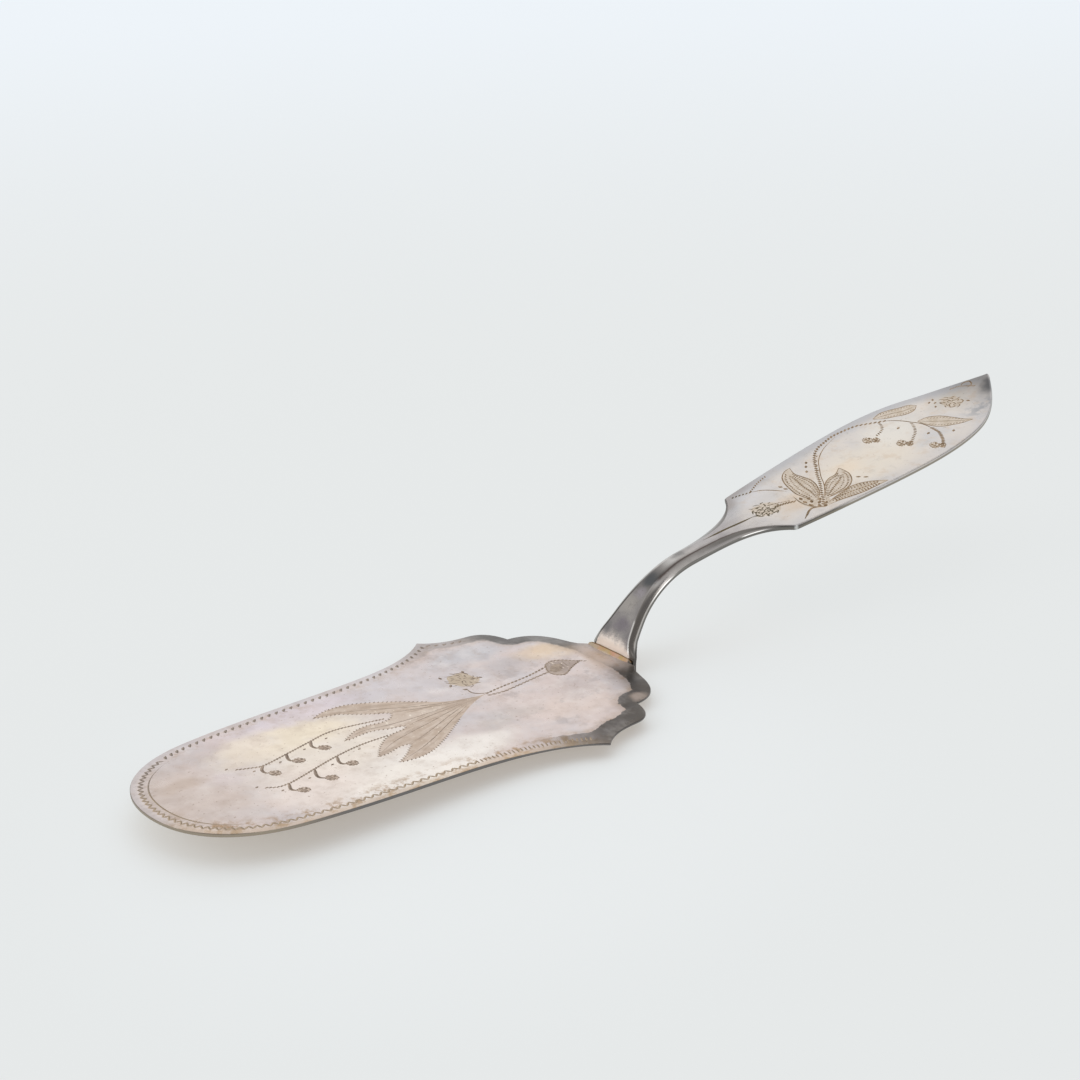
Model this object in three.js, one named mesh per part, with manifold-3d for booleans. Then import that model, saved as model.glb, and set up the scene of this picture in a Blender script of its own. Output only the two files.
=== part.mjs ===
// Cake server: a thin flat blade with a scalloped rear, hard-soldered onto a bent and bevelled handle.
// Sizes are in millimetres. X runs from the blade's tip to the handle's end, Y across it, and Z up.
// The origin is the middle of the tongue under the blade, on the flat face that the server rests on.
import * as THREE from 'three';
import { mergeVertices } from 'three/addons/utils/BufferGeometryUtils.js';
import Module from 'manifold-3d';

const wasm = await Module();
wasm.setup();

// Blade, measured along it from the end of its tab, and across it in full widths
const BLADE_LENGTH = 122.3;
const BLADE_THICKNESS = 0.9;
const BLADE_PITCH = 2.4; // degrees that the tip is raised
const TIP_LENGTH = 22.5; // from the tip back to where the round end runs into the sides
const TIP_WIDTH = 45.8;
const CORNER_SETBACK = 30.1;
const CORNER_WIDTH = 68.6;
const HOLLOW_SETBACK = 18.8; // where the hollow behind each corner swells into the outer lobe
const HOLLOW_WIDTH = 59.9;
const CUSP_SETBACK = 12.2; // between the outer and the inner lobe
const CUSP_WIDTH = 45.4;
const TAB_LENGTH = 1.4; // from the inner lobes to the blade's end
const TAB_WIDTH = 16.4;
const TAB_FLARE = 1.8; // how much it widens toward each lobe

// Directions of the blade's edge, in degrees from the X axis on its left side
const TIP_EDGE = 90;
const SIDE_EDGE = 8;
const FLARE_EDGE = 41;
const CORNER_EDGE = -45;
const HOLLOW_EDGE = -4;
const LOBE_END_EDGE = -79;
const PULL = 0.42; // how far a curve's handles reach, as a share of its chord
const SHORT_PULL = 0.26;
const LONG_PULL = 0.55;

// Tongue of the handle, under the blade, and as wide as the foot of the stem
const TONGUE_LENGTH = 24;
const TONGUE_WIDTH = 14;
const TONGUE_THICKNESS = 1.4;
const TONGUE_CORNER = 4.5;

// Handle, along the front of the stem and the top of the grip, in lengths and full widths
const FOOT_RISE = 1; // the upright part above the blade
const FOOT_THICKNESS = 1.2;
const FOOT_BEVEL = 1.35;
const FOOT_EDGE = -18; // degrees of the edge from the handle's length, here and below
const KNEE_RADIUS = 5.4; // on the back of the stem
const STEM_LEAN = 49; // degrees from the table
const STEM_RUN = 4.2;
const STEM_THICKNESS = 2;
const STEM_REACH = 7; // from the table to where the stem has its full thickness
const STEM_BEVEL = 1.9;
const BEVEL_REACH = 30; // from the table to where the bevels have their full width
const STEM_EDGE = 0.9; // upright part of the edge below the bevel
const BEND_RADIUS = 27.8; // on the back of the stem
const WAIST_REACH = 34.2; // from the table to the narrowest place
const WAIST_WIDTH = 6.5;
const SHOULDER_REACH = 24.4; // from the waist to the shoulders
const SHOULDER_WIDTH = 23.5;
const SHOULDER_ROUND = 1;
const SHOULDER_EDGE = 57;
const GRIP_LEAN = 8;
const GRIP_RUN = 90.3; // straight from the bend to the upturned end
const GRIP_WIDTH = 31.6;
const GRIP_THICKNESS = 1.2;
const GRIP_BEVEL = 0.3;
const GRIP_EDGE = 7;
const GRIP_END = 39; // from the widest place to the point
const END_RADIUS = 43;
const END_LEAN = 32;
const POINT_WIDTH = 0.8;
const POINT_EDGE = -45;

// Solder between the tongue and the blade, behind the tab and in front of the stem
const SOLDER_FILM = 0.2;
const SOLDER_GAP = 0.1; // clearance to each piece that it joins
const SOLDER_INSET = 0.3; // from the sides of the tongue
const SOLDER_RISE = 0.7; // height of the strip on the stem
const SOLDER_REACH = 1.6; // length of the strip on the blade
const SOLDER_HOLLOW = 0.25; // height of the strip where its hollow face turns

// Steps of the curves
const CURVE_STEPS = 14;

// Places that several pieces share
const SEAM_X = TONGUE_LENGTH / 2;
const LAP = 2 * SOLDER_GAP + SOLDER_FILM;
const TAB_X = SEAM_X - LAP;
const PITCH_SLOPE = Math.tan(THREE.MathUtils.degToRad(BLADE_PITCH));
const underside = (x) => TONGUE_THICKNESS + LAP + (SEAM_X - x) * PITCH_SLOPE;
const topside = (x) => underside(x) + BLADE_THICKNESS;
const FOOT_HEIGHT = topside(SEAM_X) + FOOT_RISE;

// Adds a smooth curve to an outline, from its current point to (x, y), in given directions at both ends.
function sweepTo(outline, x, y, leave, arrive, leavePull = PULL, arrivePull = PULL) {
  const from = outline.currentPoint.clone();
  const to = new THREE.Vector2(x, y);
  const chord = from.distanceTo(to);
  const handle = (degrees, pull) => {
    const angle = THREE.MathUtils.degToRad(degrees);
    return new THREE.Vector2(Math.cos(angle), Math.sin(angle)).multiplyScalar(pull * chord);
  };
  const first = from.clone().add(handle(leave, leavePull));
  const second = to.clone().sub(handle(arrive, arrivePull));
  outline.bezierCurveTo(first.x, first.y, second.x, second.y, to.x, to.y);
}

// A closed shape from the left half of an outline, mirrored about the X axis.
function mirroredShape(half) {
  const left = half.getPoints(CURVE_STEPS);
  const offAxis = left.filter((p) => p.y > 0);
  const right = offAxis.map((p) => new THREE.Vector2(p.x, -p.y)).reverse();
  return new THREE.Shape([...left, ...right]);
}

function bladeGeometry() {
  const tipX = TAB_X - BLADE_LENGTH;
  const half = new THREE.Path();
  half.moveTo(tipX, 0);
  sweepTo(half, tipX + TIP_LENGTH, TIP_WIDTH / 2, TIP_EDGE, SIDE_EDGE);
  sweepTo(half, TAB_X - CORNER_SETBACK, CORNER_WIDTH / 2, SIDE_EDGE, FLARE_EDGE, PULL, SHORT_PULL);
  sweepTo(half, TAB_X - HOLLOW_SETBACK, HOLLOW_WIDTH / 2, CORNER_EDGE, HOLLOW_EDGE, PULL, SHORT_PULL);
  sweepTo(half, TAB_X - CUSP_SETBACK, CUSP_WIDTH / 2, HOLLOW_EDGE, LOBE_END_EDGE);
  sweepTo(half, TAB_X - TAB_LENGTH, TAB_WIDTH / 2 + TAB_FLARE, HOLLOW_EDGE, LOBE_END_EDGE);
  half.lineTo(TAB_X, TAB_WIDTH / 2);
  const size = { depth: BLADE_THICKNESS, bevelEnabled: false };
  const sheet = new THREE.ExtrudeGeometry(mirroredShape(half), size);
  const pitched = new THREE.Matrix4().makeShear(0, -PITCH_SLOPE, 0, 0, 0, 0);
  return sheet.applyMatrix4(pitched).translate(0, 0, underside(0));
}

// A line in the XZ plane made of straight runs and arcs. at(s) gives its place and heading at length s.
function makeLine(x, z, heading, legs) {
  const pieces = [];
  let start = { s: 0, x, z, heading };
  const along = (piece, s) => {
    const step = s - piece.s;
    if (!piece.radius) {
      const dx = step * Math.cos(piece.heading);
      const dz = step * Math.sin(piece.heading);
      return { s, x: piece.x + dx, z: piece.z + dz, heading: piece.heading };
    }
    const turned = piece.heading + (piece.side * step) / piece.radius;
    const reach = piece.side * piece.radius;
    const dx = reach * (Math.sin(turned) - Math.sin(piece.heading));
    const dz = reach * (Math.cos(piece.heading) - Math.cos(turned));
    return { s, x: piece.x + dx, z: piece.z + dz, heading: turned };
  };
  for (const leg of legs) {
    const turn = leg.radius ? THREE.MathUtils.degToRad(leg.lean) - start.heading : 0;
    const length = leg.radius ? leg.radius * Math.abs(turn) : leg.run;
    const piece = { ...start, radius: leg.radius, side: Math.sign(turn), end: start.s + length };
    pieces.push(piece);
    start = along(piece, piece.end);
  }
  const find = (s) => pieces.find((piece) => s <= piece.end) ?? pieces[pieces.length - 1];
  return { length: start.s, at: (s) => along(find(s), s) };
}

// The front of the stem and the top of the grip, from the table up.
function handleLine() {
  return makeLine(SEAM_X, 0, Math.PI / 2, [
    { run: FOOT_HEIGHT },
    { radius: KNEE_RADIUS + FOOT_THICKNESS, lean: STEM_LEAN },
    { run: STEM_RUN },
    { radius: BEND_RADIUS + STEM_THICKNESS, lean: GRIP_LEAN },
    { run: GRIP_RUN },
    { radius: END_RADIUS, lean: END_LEAN },
  ]);
}

// Half of the handle's outline as if it were laid flat: length along it, and half its width.
function handleOutline(length) {
  const shoulder = WAIST_REACH + SHOULDER_REACH;
  const half = new THREE.Path();
  half.moveTo(0, TONGUE_WIDTH / 2);
  half.lineTo(FOOT_HEIGHT, TONGUE_WIDTH / 2);
  sweepTo(half, WAIST_REACH, WAIST_WIDTH / 2, FOOT_EDGE, 0, SHORT_PULL, LONG_PULL);
  sweepTo(half, shoulder, SHOULDER_WIDTH / 2, 0, SHOULDER_EDGE, LONG_PULL, SHORT_PULL);
  sweepTo(half, shoulder + SHOULDER_ROUND, (SHOULDER_WIDTH + SHOULDER_ROUND) / 2, SHOULDER_EDGE, GRIP_EDGE);
  sweepTo(half, length - GRIP_END, GRIP_WIDTH / 2, GRIP_EDGE, 0, SHORT_PULL, SHORT_PULL);
  sweepTo(half, length, POINT_WIDTH / 2, 0, POINT_EDGE, LONG_PULL, SHORT_PULL);
  return half.getPoints(CURVE_STEPS);
}

// The section of the handle at one place: a flat top, a bevel down each side, upright edges and a flat back.
function handleSection(s, halfWidth) {
  const stemToGrip = THREE.MathUtils.smoothstep(s, WAIST_REACH, WAIST_REACH + SHOULDER_REACH);
  const footToStem = THREE.MathUtils.smoothstep(s, TONGUE_THICKNESS, STEM_REACH);
  const bevelGrowth = THREE.MathUtils.smoothstep(s, FOOT_HEIGHT, BEVEL_REACH);
  const stem = THREE.MathUtils.lerp(FOOT_THICKNESS, STEM_THICKNESS, footToStem);
  const thickness = THREE.MathUtils.lerp(stem, GRIP_THICKNESS, stemToGrip);
  const edge = THREE.MathUtils.lerp(STEM_EDGE, GRIP_THICKNESS - GRIP_BEVEL, stemToGrip);
  const stemBevel = THREE.MathUtils.lerp(FOOT_BEVEL, STEM_BEVEL, bevelGrowth);
  const bevel = Math.min(THREE.MathUtils.lerp(stemBevel, GRIP_BEVEL, stemToGrip), halfWidth / 2);
  const side = [[halfWidth - bevel, 0], [halfWidth, edge - thickness], [halfWidth, -thickness]];
  const otherSide = side.map(([y, depth]) => [-y, depth]).reverse();
  return [...side, ...otherSide];
}

// A closed skin through sections that stand square to a line: each has the same number of points.
function loftGeometry(line, outline) {
  const positions = [];
  const triangles = [];
  let points = 0;
  outline.forEach(({ x: s, y: halfWidth }) => {
    const place = line.at(s);
    const section = handleSection(s, halfWidth);
    points = section.length;
    section.forEach(([y, depth]) => {
      const x = place.x - depth * Math.sin(place.heading);
      const z = place.z + depth * Math.cos(place.heading);
      positions.push(x, y, z);
    });
  });
  const last = (outline.length - 1) * points;
  for (let ring = 0; ring < last; ring += points) {
    for (let i = 0; i < points; i += 1) {
      const next = (i + 1) % points;
      triangles.push(ring + i, ring + points + i, ring + next);
      triangles.push(ring + next, ring + points + i, ring + points + next);
    }
  }
  for (let i = 1; i < points - 1; i += 1) {
    triangles.push(0, i, i + 1);
    triangles.push(last, last + i + 1, last + i);
  }
  const geometry = new THREE.BufferGeometry();
  geometry.setAttribute('position', new THREE.Float32BufferAttribute(positions, 3));
  geometry.setIndex(triangles);
  return geometry;
}

function tongueGeometry() {
  const front = -TONGUE_LENGTH / 2;
  const flank = TONGUE_WIDTH / 2 - TONGUE_CORNER;
  const half = new THREE.Path();
  half.moveTo(front, 0);
  half.lineTo(front, flank);
  half.absarc(front + TONGUE_CORNER, flank, TONGUE_CORNER, Math.PI, Math.PI / 2, true);
  half.lineTo(SEAM_X + FOOT_THICKNESS / 2, TONGUE_WIDTH / 2);
  return new THREE.ExtrudeGeometry(mirroredShape(half), { depth: TONGUE_THICKNESS, bevelEnabled: false });
}

function toSolid(geometry) {
  const bare = geometry.clone();
  bare.deleteAttribute('normal');
  bare.deleteAttribute('uv');
  const merged = mergeVertices(bare);
  return new wasm.Manifold(new wasm.Mesh({
    numProp: 3,
    vertProperties: new Float32Array(merged.attributes.position.array),
    triVerts: new Uint32Array(merged.index.array),
  }));
}

function toGeometry(solid) {
  const mesh = solid.getMesh();
  const geometry = new THREE.BufferGeometry();
  geometry.setAttribute('position', new THREE.BufferAttribute(mesh.vertProperties, 3));
  geometry.setIndex(new THREE.BufferAttribute(mesh.triVerts, 1));
  geometry.computeVertexNormals();
  return geometry;
}

function handleGeometry() {
  const line = handleLine();
  const stemAndGrip = loftGeometry(line, handleOutline(line.length));
  return toGeometry(toSolid(stemAndGrip).add(toSolid(tongueGeometry())));
}

// The solder wraps the end of the tab: a wedge below it, a web behind it and a strip on top.
function solderGeometry() {
  const front = -TONGUE_LENGTH / 2 + TONGUE_CORNER;
  const back = SEAM_X - SOLDER_GAP;
  const web = TAB_X + SOLDER_GAP;
  const toe = TAB_X - SOLDER_REACH;
  const crest = topside(SEAM_X) + SOLDER_RISE;
  const onBlade = (x) => topside(x) + SOLDER_GAP;
  const underBlade = (x) => underside(x) - SOLDER_GAP;
  const profile = new THREE.Shape();
  profile.moveTo(front, TONGUE_THICKNESS + SOLDER_GAP);
  profile.lineTo(back, TONGUE_THICKNESS + SOLDER_GAP);
  profile.lineTo(back, crest);
  profile.quadraticCurveTo(TAB_X, onBlade(TAB_X) + SOLDER_HOLLOW, toe, onBlade(toe));
  profile.lineTo(web, onBlade(web));
  profile.lineTo(web, underBlade(web));
  profile.lineTo(front, underBlade(front));
  const width = TONGUE_WIDTH - 2 * SOLDER_INSET;
  const bar = new THREE.ExtrudeGeometry(profile, { depth: width, bevelEnabled: false });
  return bar.rotateX(Math.PI / 2).translate(0, width / 2, 0);
}

function makeMesh(name, geometry, look) {
  const mesh = new THREE.Mesh(geometry, new THREE.MeshStandardMaterial(look));
  mesh.name = name;
  return mesh;
}

const server = new THREE.Group();
server.add(makeMesh('blade', bladeGeometry(), { color: 0xcfc0b6, roughness: 0.34, metalness: 0.9 }));
server.add(makeMesh('handle', handleGeometry(), { color: 0xbdb6ae, roughness: 0.3, metalness: 0.9 }));
server.add(makeMesh('solder', solderGeometry(), { color: 0xb98f5e, roughness: 0.45, metalness: 0.9 }));

export default server;
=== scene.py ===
import math

import bpy
import numpy as np
from mathutils import Matrix, Vector
from mathutils.geometry import delaunay_2d_cdt


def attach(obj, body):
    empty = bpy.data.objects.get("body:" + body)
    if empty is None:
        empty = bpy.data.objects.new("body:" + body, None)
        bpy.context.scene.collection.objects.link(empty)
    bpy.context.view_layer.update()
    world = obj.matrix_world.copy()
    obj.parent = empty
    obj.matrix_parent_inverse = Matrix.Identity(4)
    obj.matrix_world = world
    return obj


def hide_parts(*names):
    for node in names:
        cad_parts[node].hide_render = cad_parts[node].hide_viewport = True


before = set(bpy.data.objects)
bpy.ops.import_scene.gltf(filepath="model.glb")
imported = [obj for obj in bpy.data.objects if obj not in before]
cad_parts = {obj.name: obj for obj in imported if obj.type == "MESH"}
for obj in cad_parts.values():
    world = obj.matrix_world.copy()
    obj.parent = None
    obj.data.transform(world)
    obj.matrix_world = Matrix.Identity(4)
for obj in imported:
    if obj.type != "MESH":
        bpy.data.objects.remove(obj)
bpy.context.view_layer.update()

# Engraved cake server. Shapes are worked out in millimetres in the part's own frame and stored in metres.
MM = 0.001

# Blade sizes
BLADE_LENGTH = 122.3
BLADE_THICKNESS = 0.9
BLADE_PITCH = 2.4
TIP_LENGTH, TIP_WIDTH = 22.5, 45.8
CORNER_SETBACK, CORNER_WIDTH = 30.1, 68.6
HOLLOW_SETBACK, HOLLOW_WIDTH = 18.8, 59.9
CUSP_SETBACK, CUSP_WIDTH = 12.2, 45.4
TAB_LENGTH, TAB_WIDTH, TAB_FLARE = 1.4, 16.4, 1.8
TIP_EDGE, SIDE_EDGE, FLARE_EDGE = 90, 8, 41
CORNER_EDGE, HOLLOW_EDGE, LOBE_END_EDGE = -45, -4, -79
PULL, SHORT_PULL, LONG_PULL = 0.42, 0.26, 0.55

# Handle sizes
TONGUE_LENGTH, TONGUE_WIDTH, TONGUE_THICKNESS, TONGUE_CORNER = 24, 14, 1.4, 4.5
FOOT_RISE, FOOT_THICKNESS, FOOT_BEVEL, FOOT_EDGE = 1, 1.2, 1.35, -18
KNEE_RADIUS, STEM_LEAN, STEM_RUN = 5.4, 49, 4.2
STEM_THICKNESS, STEM_BEVEL, STEM_EDGE = 2, 1.9, 0.9
STEM_REACH, BEVEL_REACH = 7, 30
BEND_RADIUS = 27.8
WAIST_REACH, WAIST_WIDTH = 34.2, 6.5
SHOULDER_REACH, SHOULDER_WIDTH, SHOULDER_ROUND, SHOULDER_EDGE = 24.4, 23.5, 1, 57
GRIP_LEAN, GRIP_RUN, GRIP_WIDTH, GRIP_THICKNESS = 8, 90.3, 31.6, 1.2
GRIP_BEVEL, GRIP_EDGE, GRIP_END = 0.3, 7, 39
END_RADIUS, END_LEAN, POINT_WIDTH, POINT_EDGE = 43, 32, 0.8, -45

# Solder sizes
SOLDER_FILM, SOLDER_GAP, SOLDER_INSET = 0.2, 0.1, 0.3
SOLDER_WIDTH, SOLDER_RUN, SOLDER_TOE = TONGUE_WIDTH - 2 * SOLDER_INSET, 1.3, 0.02
SOLDER_END = SOLDER_WIDTH / 2 + SOLDER_RUN
SOLDER_REACH, REACH_LEAST, REACH_MORE = 1.6, 0.1, 0.3
SOLDER_RISE, RISE_LEAST, RISE_MORE = 0.7, 1.1, 0.3
NEAR_RISE, NEAR_RUN, FAR_RISE = 0.3, 1.1, 0.35
SEAM_LINE, SEAM_STEP, SOLDER_SAG = 0.22, 0.03, 0.06
SOLDER_WAVES = ((0.05, 1.3, 0), (0.04, 3.7, 1), (0.03, 7.1, 0))
SOLDER_ROWS, SAG_POINTS = 61, 8

# Sizes that only the dressed surface has
SOFT_EDGE, WALL_TOP = 0.12, 0.15
RIM_WIDTH, RIM_BLEND, INNER_RAIL = 4.0, 9.0, 16.0
RIM_DROP_REAR, RIM_DROP_FRONT, RIM_DEEPENS = 0.42, 0.12, (-48, -26)
FLAT_TAB_SIDES, FLAT_TAB_FRONT = (13, 8), (0, 5)
CREASE, CREASE_SHARE = 0.18, 0.3
BEVEL_ROWS, BEVEL_CROWN = (0.2, 0.4, 0.6, 0.78, 0.9), 0.3
BEVEL_FADE, BEVEL_FADE_END = 0.55, 2
GRIP_RAILS = (-0.84, -0.5, 0, 0.5, 0.84)
BLADE_SHARP, HANDLE_SHARP, SOLDER_SHARP = 24, 12, 30
GRIP_LEG, END_LEG = 4, 5

# Marks that the materials read: distance from the edge on walls and backs, and place down the handle's side
BLADE_WALL, HANDLE_WALL = -1.0, -3.0
NICK_MARK, WALL_MARK, BACK_MARK = 0.1, 1.0, 2.0

# Engraving sizes
CUT_SLOPE, CUT_TAPER, CUT_MARGIN = 0.5, 0.3, 0.5
DOT_SHAPE = np.array((0.35, 0.8, 0.35))
BELL_ALONG, BELL_ACROSS = np.array((0.77, -0.64)), np.array((0.64, 0.77))
BORDER_INSET, BORDER_STEP, BORDER_SWING = 2.1, 0.98, 0.55
FAR_BORDER_END, NEAR_BORDER_END = HOLLOW_SETBACK + 2.0, CORNER_SETBACK + 0.5
TIP_BORDER_END, TEETH_START = -96, -46
COMMA_BOW = (-0.5, 0.2, 0.4)
TIP_LINE_INSET, TIP_LINE_REACH = 3.7, 16
LEAF_NICKS_END = -36
LEAF_DOTS, LEAF_DOTS_FROM, LEAF_DOTS_TO, LEAF_DOTS_STEP = ((0.22, 0.31), (0.55, 0.25)), 0.14, 0.92, 0.85

# Places that several pieces share
SEAM_X = TONGUE_LENGTH / 2
LAP = 2 * SOLDER_GAP + SOLDER_FILM
TAB_X = SEAM_X - LAP
PITCH_SLOPE = math.tan(math.radians(BLADE_PITCH))


def underside(x):
    return TONGUE_THICKNESS + LAP + (SEAM_X - x) * PITCH_SLOPE


def topside(x):
    return underside(x) + BLADE_THICKNESS


FOOT_HEIGHT = topside(SEAM_X) + FOOT_RISE


# Plane curves


def smoothstep(x, low, high):
    t = np.clip((np.asarray(x, float) - low) / (high - low), 0, 1)
    return t * t * (3 - 2 * t)


def lerp(a, b, t):
    return a + (b - a) * t


def sweep(points, x, y, leave, arrive, leave_pull=PULL, arrive_pull=PULL, steps=24):
    """Adds a smooth curve from the last point to (x, y), in given directions at both ends."""
    start, end = np.array(points[-1], float), np.array((x, y), float)
    chord = np.linalg.norm(end - start)

    def reach(degrees, pull):
        angle = math.radians(degrees)
        return np.array((math.cos(angle), math.sin(angle))) * pull * chord

    first, second = start + reach(leave, leave_pull), end - reach(arrive, arrive_pull)
    for t in np.linspace(0, 1, steps + 1)[1:]:
        u = 1 - t
        points.append(tuple(u**3 * start + 3 * t * u * u * first + 3 * t * t * u * second + t**3 * end))


def through(points, step=0.5, closed=False):
    """A smooth curve through a few points, at about equal steps."""
    p = np.array(points, float)
    if len(p) == 2 and not closed:
        count = max(2, int(np.linalg.norm(p[1] - p[0]) / step))
        return p[0] + np.linspace(0, 1, count + 1)[:, None] * (p[1] - p[0])
    padded = np.vstack([p[-1:], p, p[:2]]) if closed else np.vstack([2 * p[0] - p[1], p, 2 * p[-1] - p[-2]])
    out = []
    for a, b, c, d in zip(padded, padded[1:], padded[2:], padded[3:]):
        count = max(2, int(np.linalg.norm(c - b) / step))
        square, cube = 2 * a - 5 * b + 4 * c - d, 3 * b - a - 3 * c + d
        for t in np.linspace(0, 1, count, endpoint=False):
            out.append(0.5 * (2 * b + (c - a) * t + square * t**2 + cube * t**3))
    if not closed:
        out.append(p[-1])
    return np.array(out)


def lengths(points):
    return np.r_[0, np.cumsum(np.linalg.norm(np.diff(points, axis=0), axis=1))]


def evenly(points, step):
    """Points at equal steps along a line."""
    run = lengths(points)
    at = np.linspace(0, run[-1], max(2, int(round(run[-1] / step)) + 1))
    return np.stack([np.interp(at, run, points[:, i]) for i in (0, 1)], 1)


def normals(points):
    """Unit vectors to the left of a line at each of its points."""
    d = np.gradient(points, axis=0)
    d /= np.linalg.norm(d, axis=1)[:, None]
    return np.stack([-d[:, 1], d[:, 0]], 1)


def nearest(points, line, batch=2000):
    """Each point's distance to a line, and the place of the nearest spot along it, counted in points."""
    a, d = line[:-1], np.diff(line, axis=0)
    square = np.maximum((d * d).sum(1), 1e-12)
    far, where = np.empty(len(points)), np.empty(len(points))
    for i in range(0, len(points), batch):
        part = slice(i, i + batch)
        w = points[part, None] - a[None]
        t = np.clip((w * d[None]).sum(2) / square, 0, 1)
        gap = np.linalg.norm(w - t[..., None] * d[None], axis=2)
        k = gap.argmin(1)
        rows = np.arange(len(k))
        far[part], where[part] = gap[rows, k], k + t[rows, k]
    return far, where


def closed_line(points):
    return np.vstack([points, points[:1]])


def inset(outline, distance):
    """The line that runs a set distance inside a closed outline, given anticlockwise."""
    before = outline - np.roll(outline, 1, axis=0)
    after = np.roll(outline, -1, axis=0) - outline
    out = []
    for p, b, a in zip(outline, before, after):
        first, last = math.atan2(b[0], -b[1]), math.atan2(a[0], -a[1])
        turn = (last - first + math.pi) % (2 * math.pi) - math.pi
        for t in np.linspace(0, 1, max(2, int(abs(turn) * 6))):
            angle = first + turn * t
            out.append(p + distance * np.array((math.cos(angle), math.sin(angle))))
    out = np.array(out)
    far, _ = nearest(out, closed_line(outline))
    return out[far > distance * 0.99]


# Engraving

BASE, FILL, CUT = 0, 1, 2


class Engraving:
    """Cuts, each a line and half its width at each point, and fills, each a closed line and its kind."""

    def __init__(self, limit=None):
        self.cuts = []
        self.fills = []
        self.limit = limit

    def inside(self, line):
        """The line, held inside the limit, which is a list of places along and half widths there."""
        if self.limit is None:
            return line
        wide = np.interp(line[:, 0], self.limit[:, 0], self.limit[:, 1]) - CUT_MARGIN
        return np.column_stack([line[:, 0], np.clip(line[:, 1], -wide, wide)])

    def cut(self, points, width, ends=0.3, step=0.5):
        """A groove along a smooth line, narrower at its ends by the share given."""
        line = self.inside(through(points, step))
        run = lengths(line)
        share = np.minimum(run, run[-1] - run) / max(run[-1], 1e-6)
        half = width / 2 * lerp(ends, 1, smoothstep(share, 0, CUT_TAPER))
        self.cuts.append((line, half))

    def dot(self, x, y, radius, lean):
        """A short cut with a wide middle."""
        reach = np.array((math.cos(lean), math.sin(lean))) * radius
        line = self.inside(np.array([(x, y) - reach, (x, y), (x, y) + reach]))
        self.cuts.append((line, radius * DOT_SHAPE))

    def fill(self, points, step=0.8, kind=FILL):
        """A closed shape with the matt look of the leaves, or the dark look of the cuts."""
        self.fills.append((self.inside(through(points, step, closed=True)), kind))

    def beads(self, points, spacing, width, lean, length):
        """A row of short slanted cuts along a line."""
        line = evenly(through(points), spacing)
        side = normals(line)
        for p, n in zip(line, side):
            along = np.array((n[1], -n[0]))
            reach = (along * math.cos(lean) + n * math.sin(lean)) * length / 2
            self.cut([p - reach, p + reach], width, ends=0.35, step=0.3)

    def hatch(self, first, second, count, width):
        """Cuts that run side by side from one line's points to another's."""
        a, b = through(first), through(second)
        for t in np.linspace(0, 1, count):
            i, j = int(t * (len(a) - 1)), int(t * (len(b) - 1))
            self.cut([a[i], b[j]], width, ends=0.2, step=0.6)


def pointed(line, half):
    """The line with a short step to nothing added at both ends."""
    head, tail = line[0] - line[1], line[-1] - line[-2]
    head = line[0] + head / np.linalg.norm(head) * half[0]
    tail = line[-1] + tail / np.linalg.norm(tail) * half[-1]
    return np.vstack([head, line, tail]), np.r_[0, half, 0]


def engrave(outline, engraving, rails):
    """Triangulates the inside of an outline with the engraving cut into it.

    Gives points, depths, triangles, kinds of triangle, and the index of each outline point.
    """
    points, edges, faces, kinds = [], [], [], []

    def add(line, closed):
        start = len(points)
        points.extend(Vector(p) for p in line)
        edges.extend((i, i + 1) for i in range(start, len(points) - 1))
        if closed:
            edges.append((len(points) - 1, start))
        return list(range(start, len(points)))

    def add_face(line, kind):
        turn = np.cross(line, np.roll(line, -1, axis=0)).sum()
        faces.append(add(line if turn > 0 else line[::-1], True))
        kinds.append(kind)

    add_face(outline, BASE)
    for rail in rails:
        add(rail, False)
    for line, kind in sorted(engraving.fills, key=lambda fill: fill[1]):
        add_face(line, kind)
    cuts = [pointed(line, half) for line, half in engraving.cuts]
    for line, half in cuts:
        side = normals(line)[1:-1] * half[1:-1, None]
        add_face(np.vstack([line[:1], line[1:-1] + side, line[-1:], (line[1:-1] - side)[::-1]]), CUT)
        add(line[1:-1], False)
    keep_inside, tolerance = 1, 1e-5
    found = delaunay_2d_cdt(points, edges, faces, keep_inside, tolerance, True)
    made, _, triangles, from_points, _, from_faces = found
    flat = np.array([tuple(p) for p in made])
    depth = np.zeros(len(flat))
    for line, half in cuts:
        wide = half.max()
        low, high = line.min(0) - wide, line.max(0) + wide
        near = np.where(((flat > low) & (flat < high)).all(1))[0]
        if len(near):
            far, where = nearest(flat[near], line)
            width = np.interp(where, np.arange(len(half)), half)
            depth[near] = np.maximum(depth[near], CUT_SLOPE * np.maximum(width - far, 0))
    kept = [(f, max(kinds[i] for i in ids)) for f, ids in zip(triangles, from_faces) if 0 in ids]
    triangles, kind = [f for f, _ in kept], [k for _, k in kept]
    first_of = {}
    for new, old in enumerate(from_points):
        for i in old:
            first_of[i] = new
    border = [first_of[i] for i in faces[0]]
    return flat, depth, triangles, kind, border


def linked(name, data):
    """A new object in the scene."""
    thing = bpy.data.objects.new(name, data)
    bpy.context.scene.collection.objects.link(thing)
    return thing


def build(name, points, faces, kinds, materials, attributes, smooth):
    """A mesh object from points in millimetres, with one material index and one smooth flag for each face."""
    mesh = bpy.data.meshes.new(name)
    mesh.from_pydata((np.asarray(points) * MM).tolist(), [], [list(f) for f in faces])
    for material in materials:
        mesh.materials.append(material)
    mesh.polygons.foreach_set("material_index", list(kinds))
    mesh.polygons.foreach_set("use_smooth", list(smooth))
    for key, values in attributes.items():
        layer = mesh.attributes.new(key, "FLOAT", "POINT")
        layer.data.foreach_set("value", np.asarray(values, float))
    mesh.validate()
    mesh.update()
    return linked(name, mesh)


# Shader nodes


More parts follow.
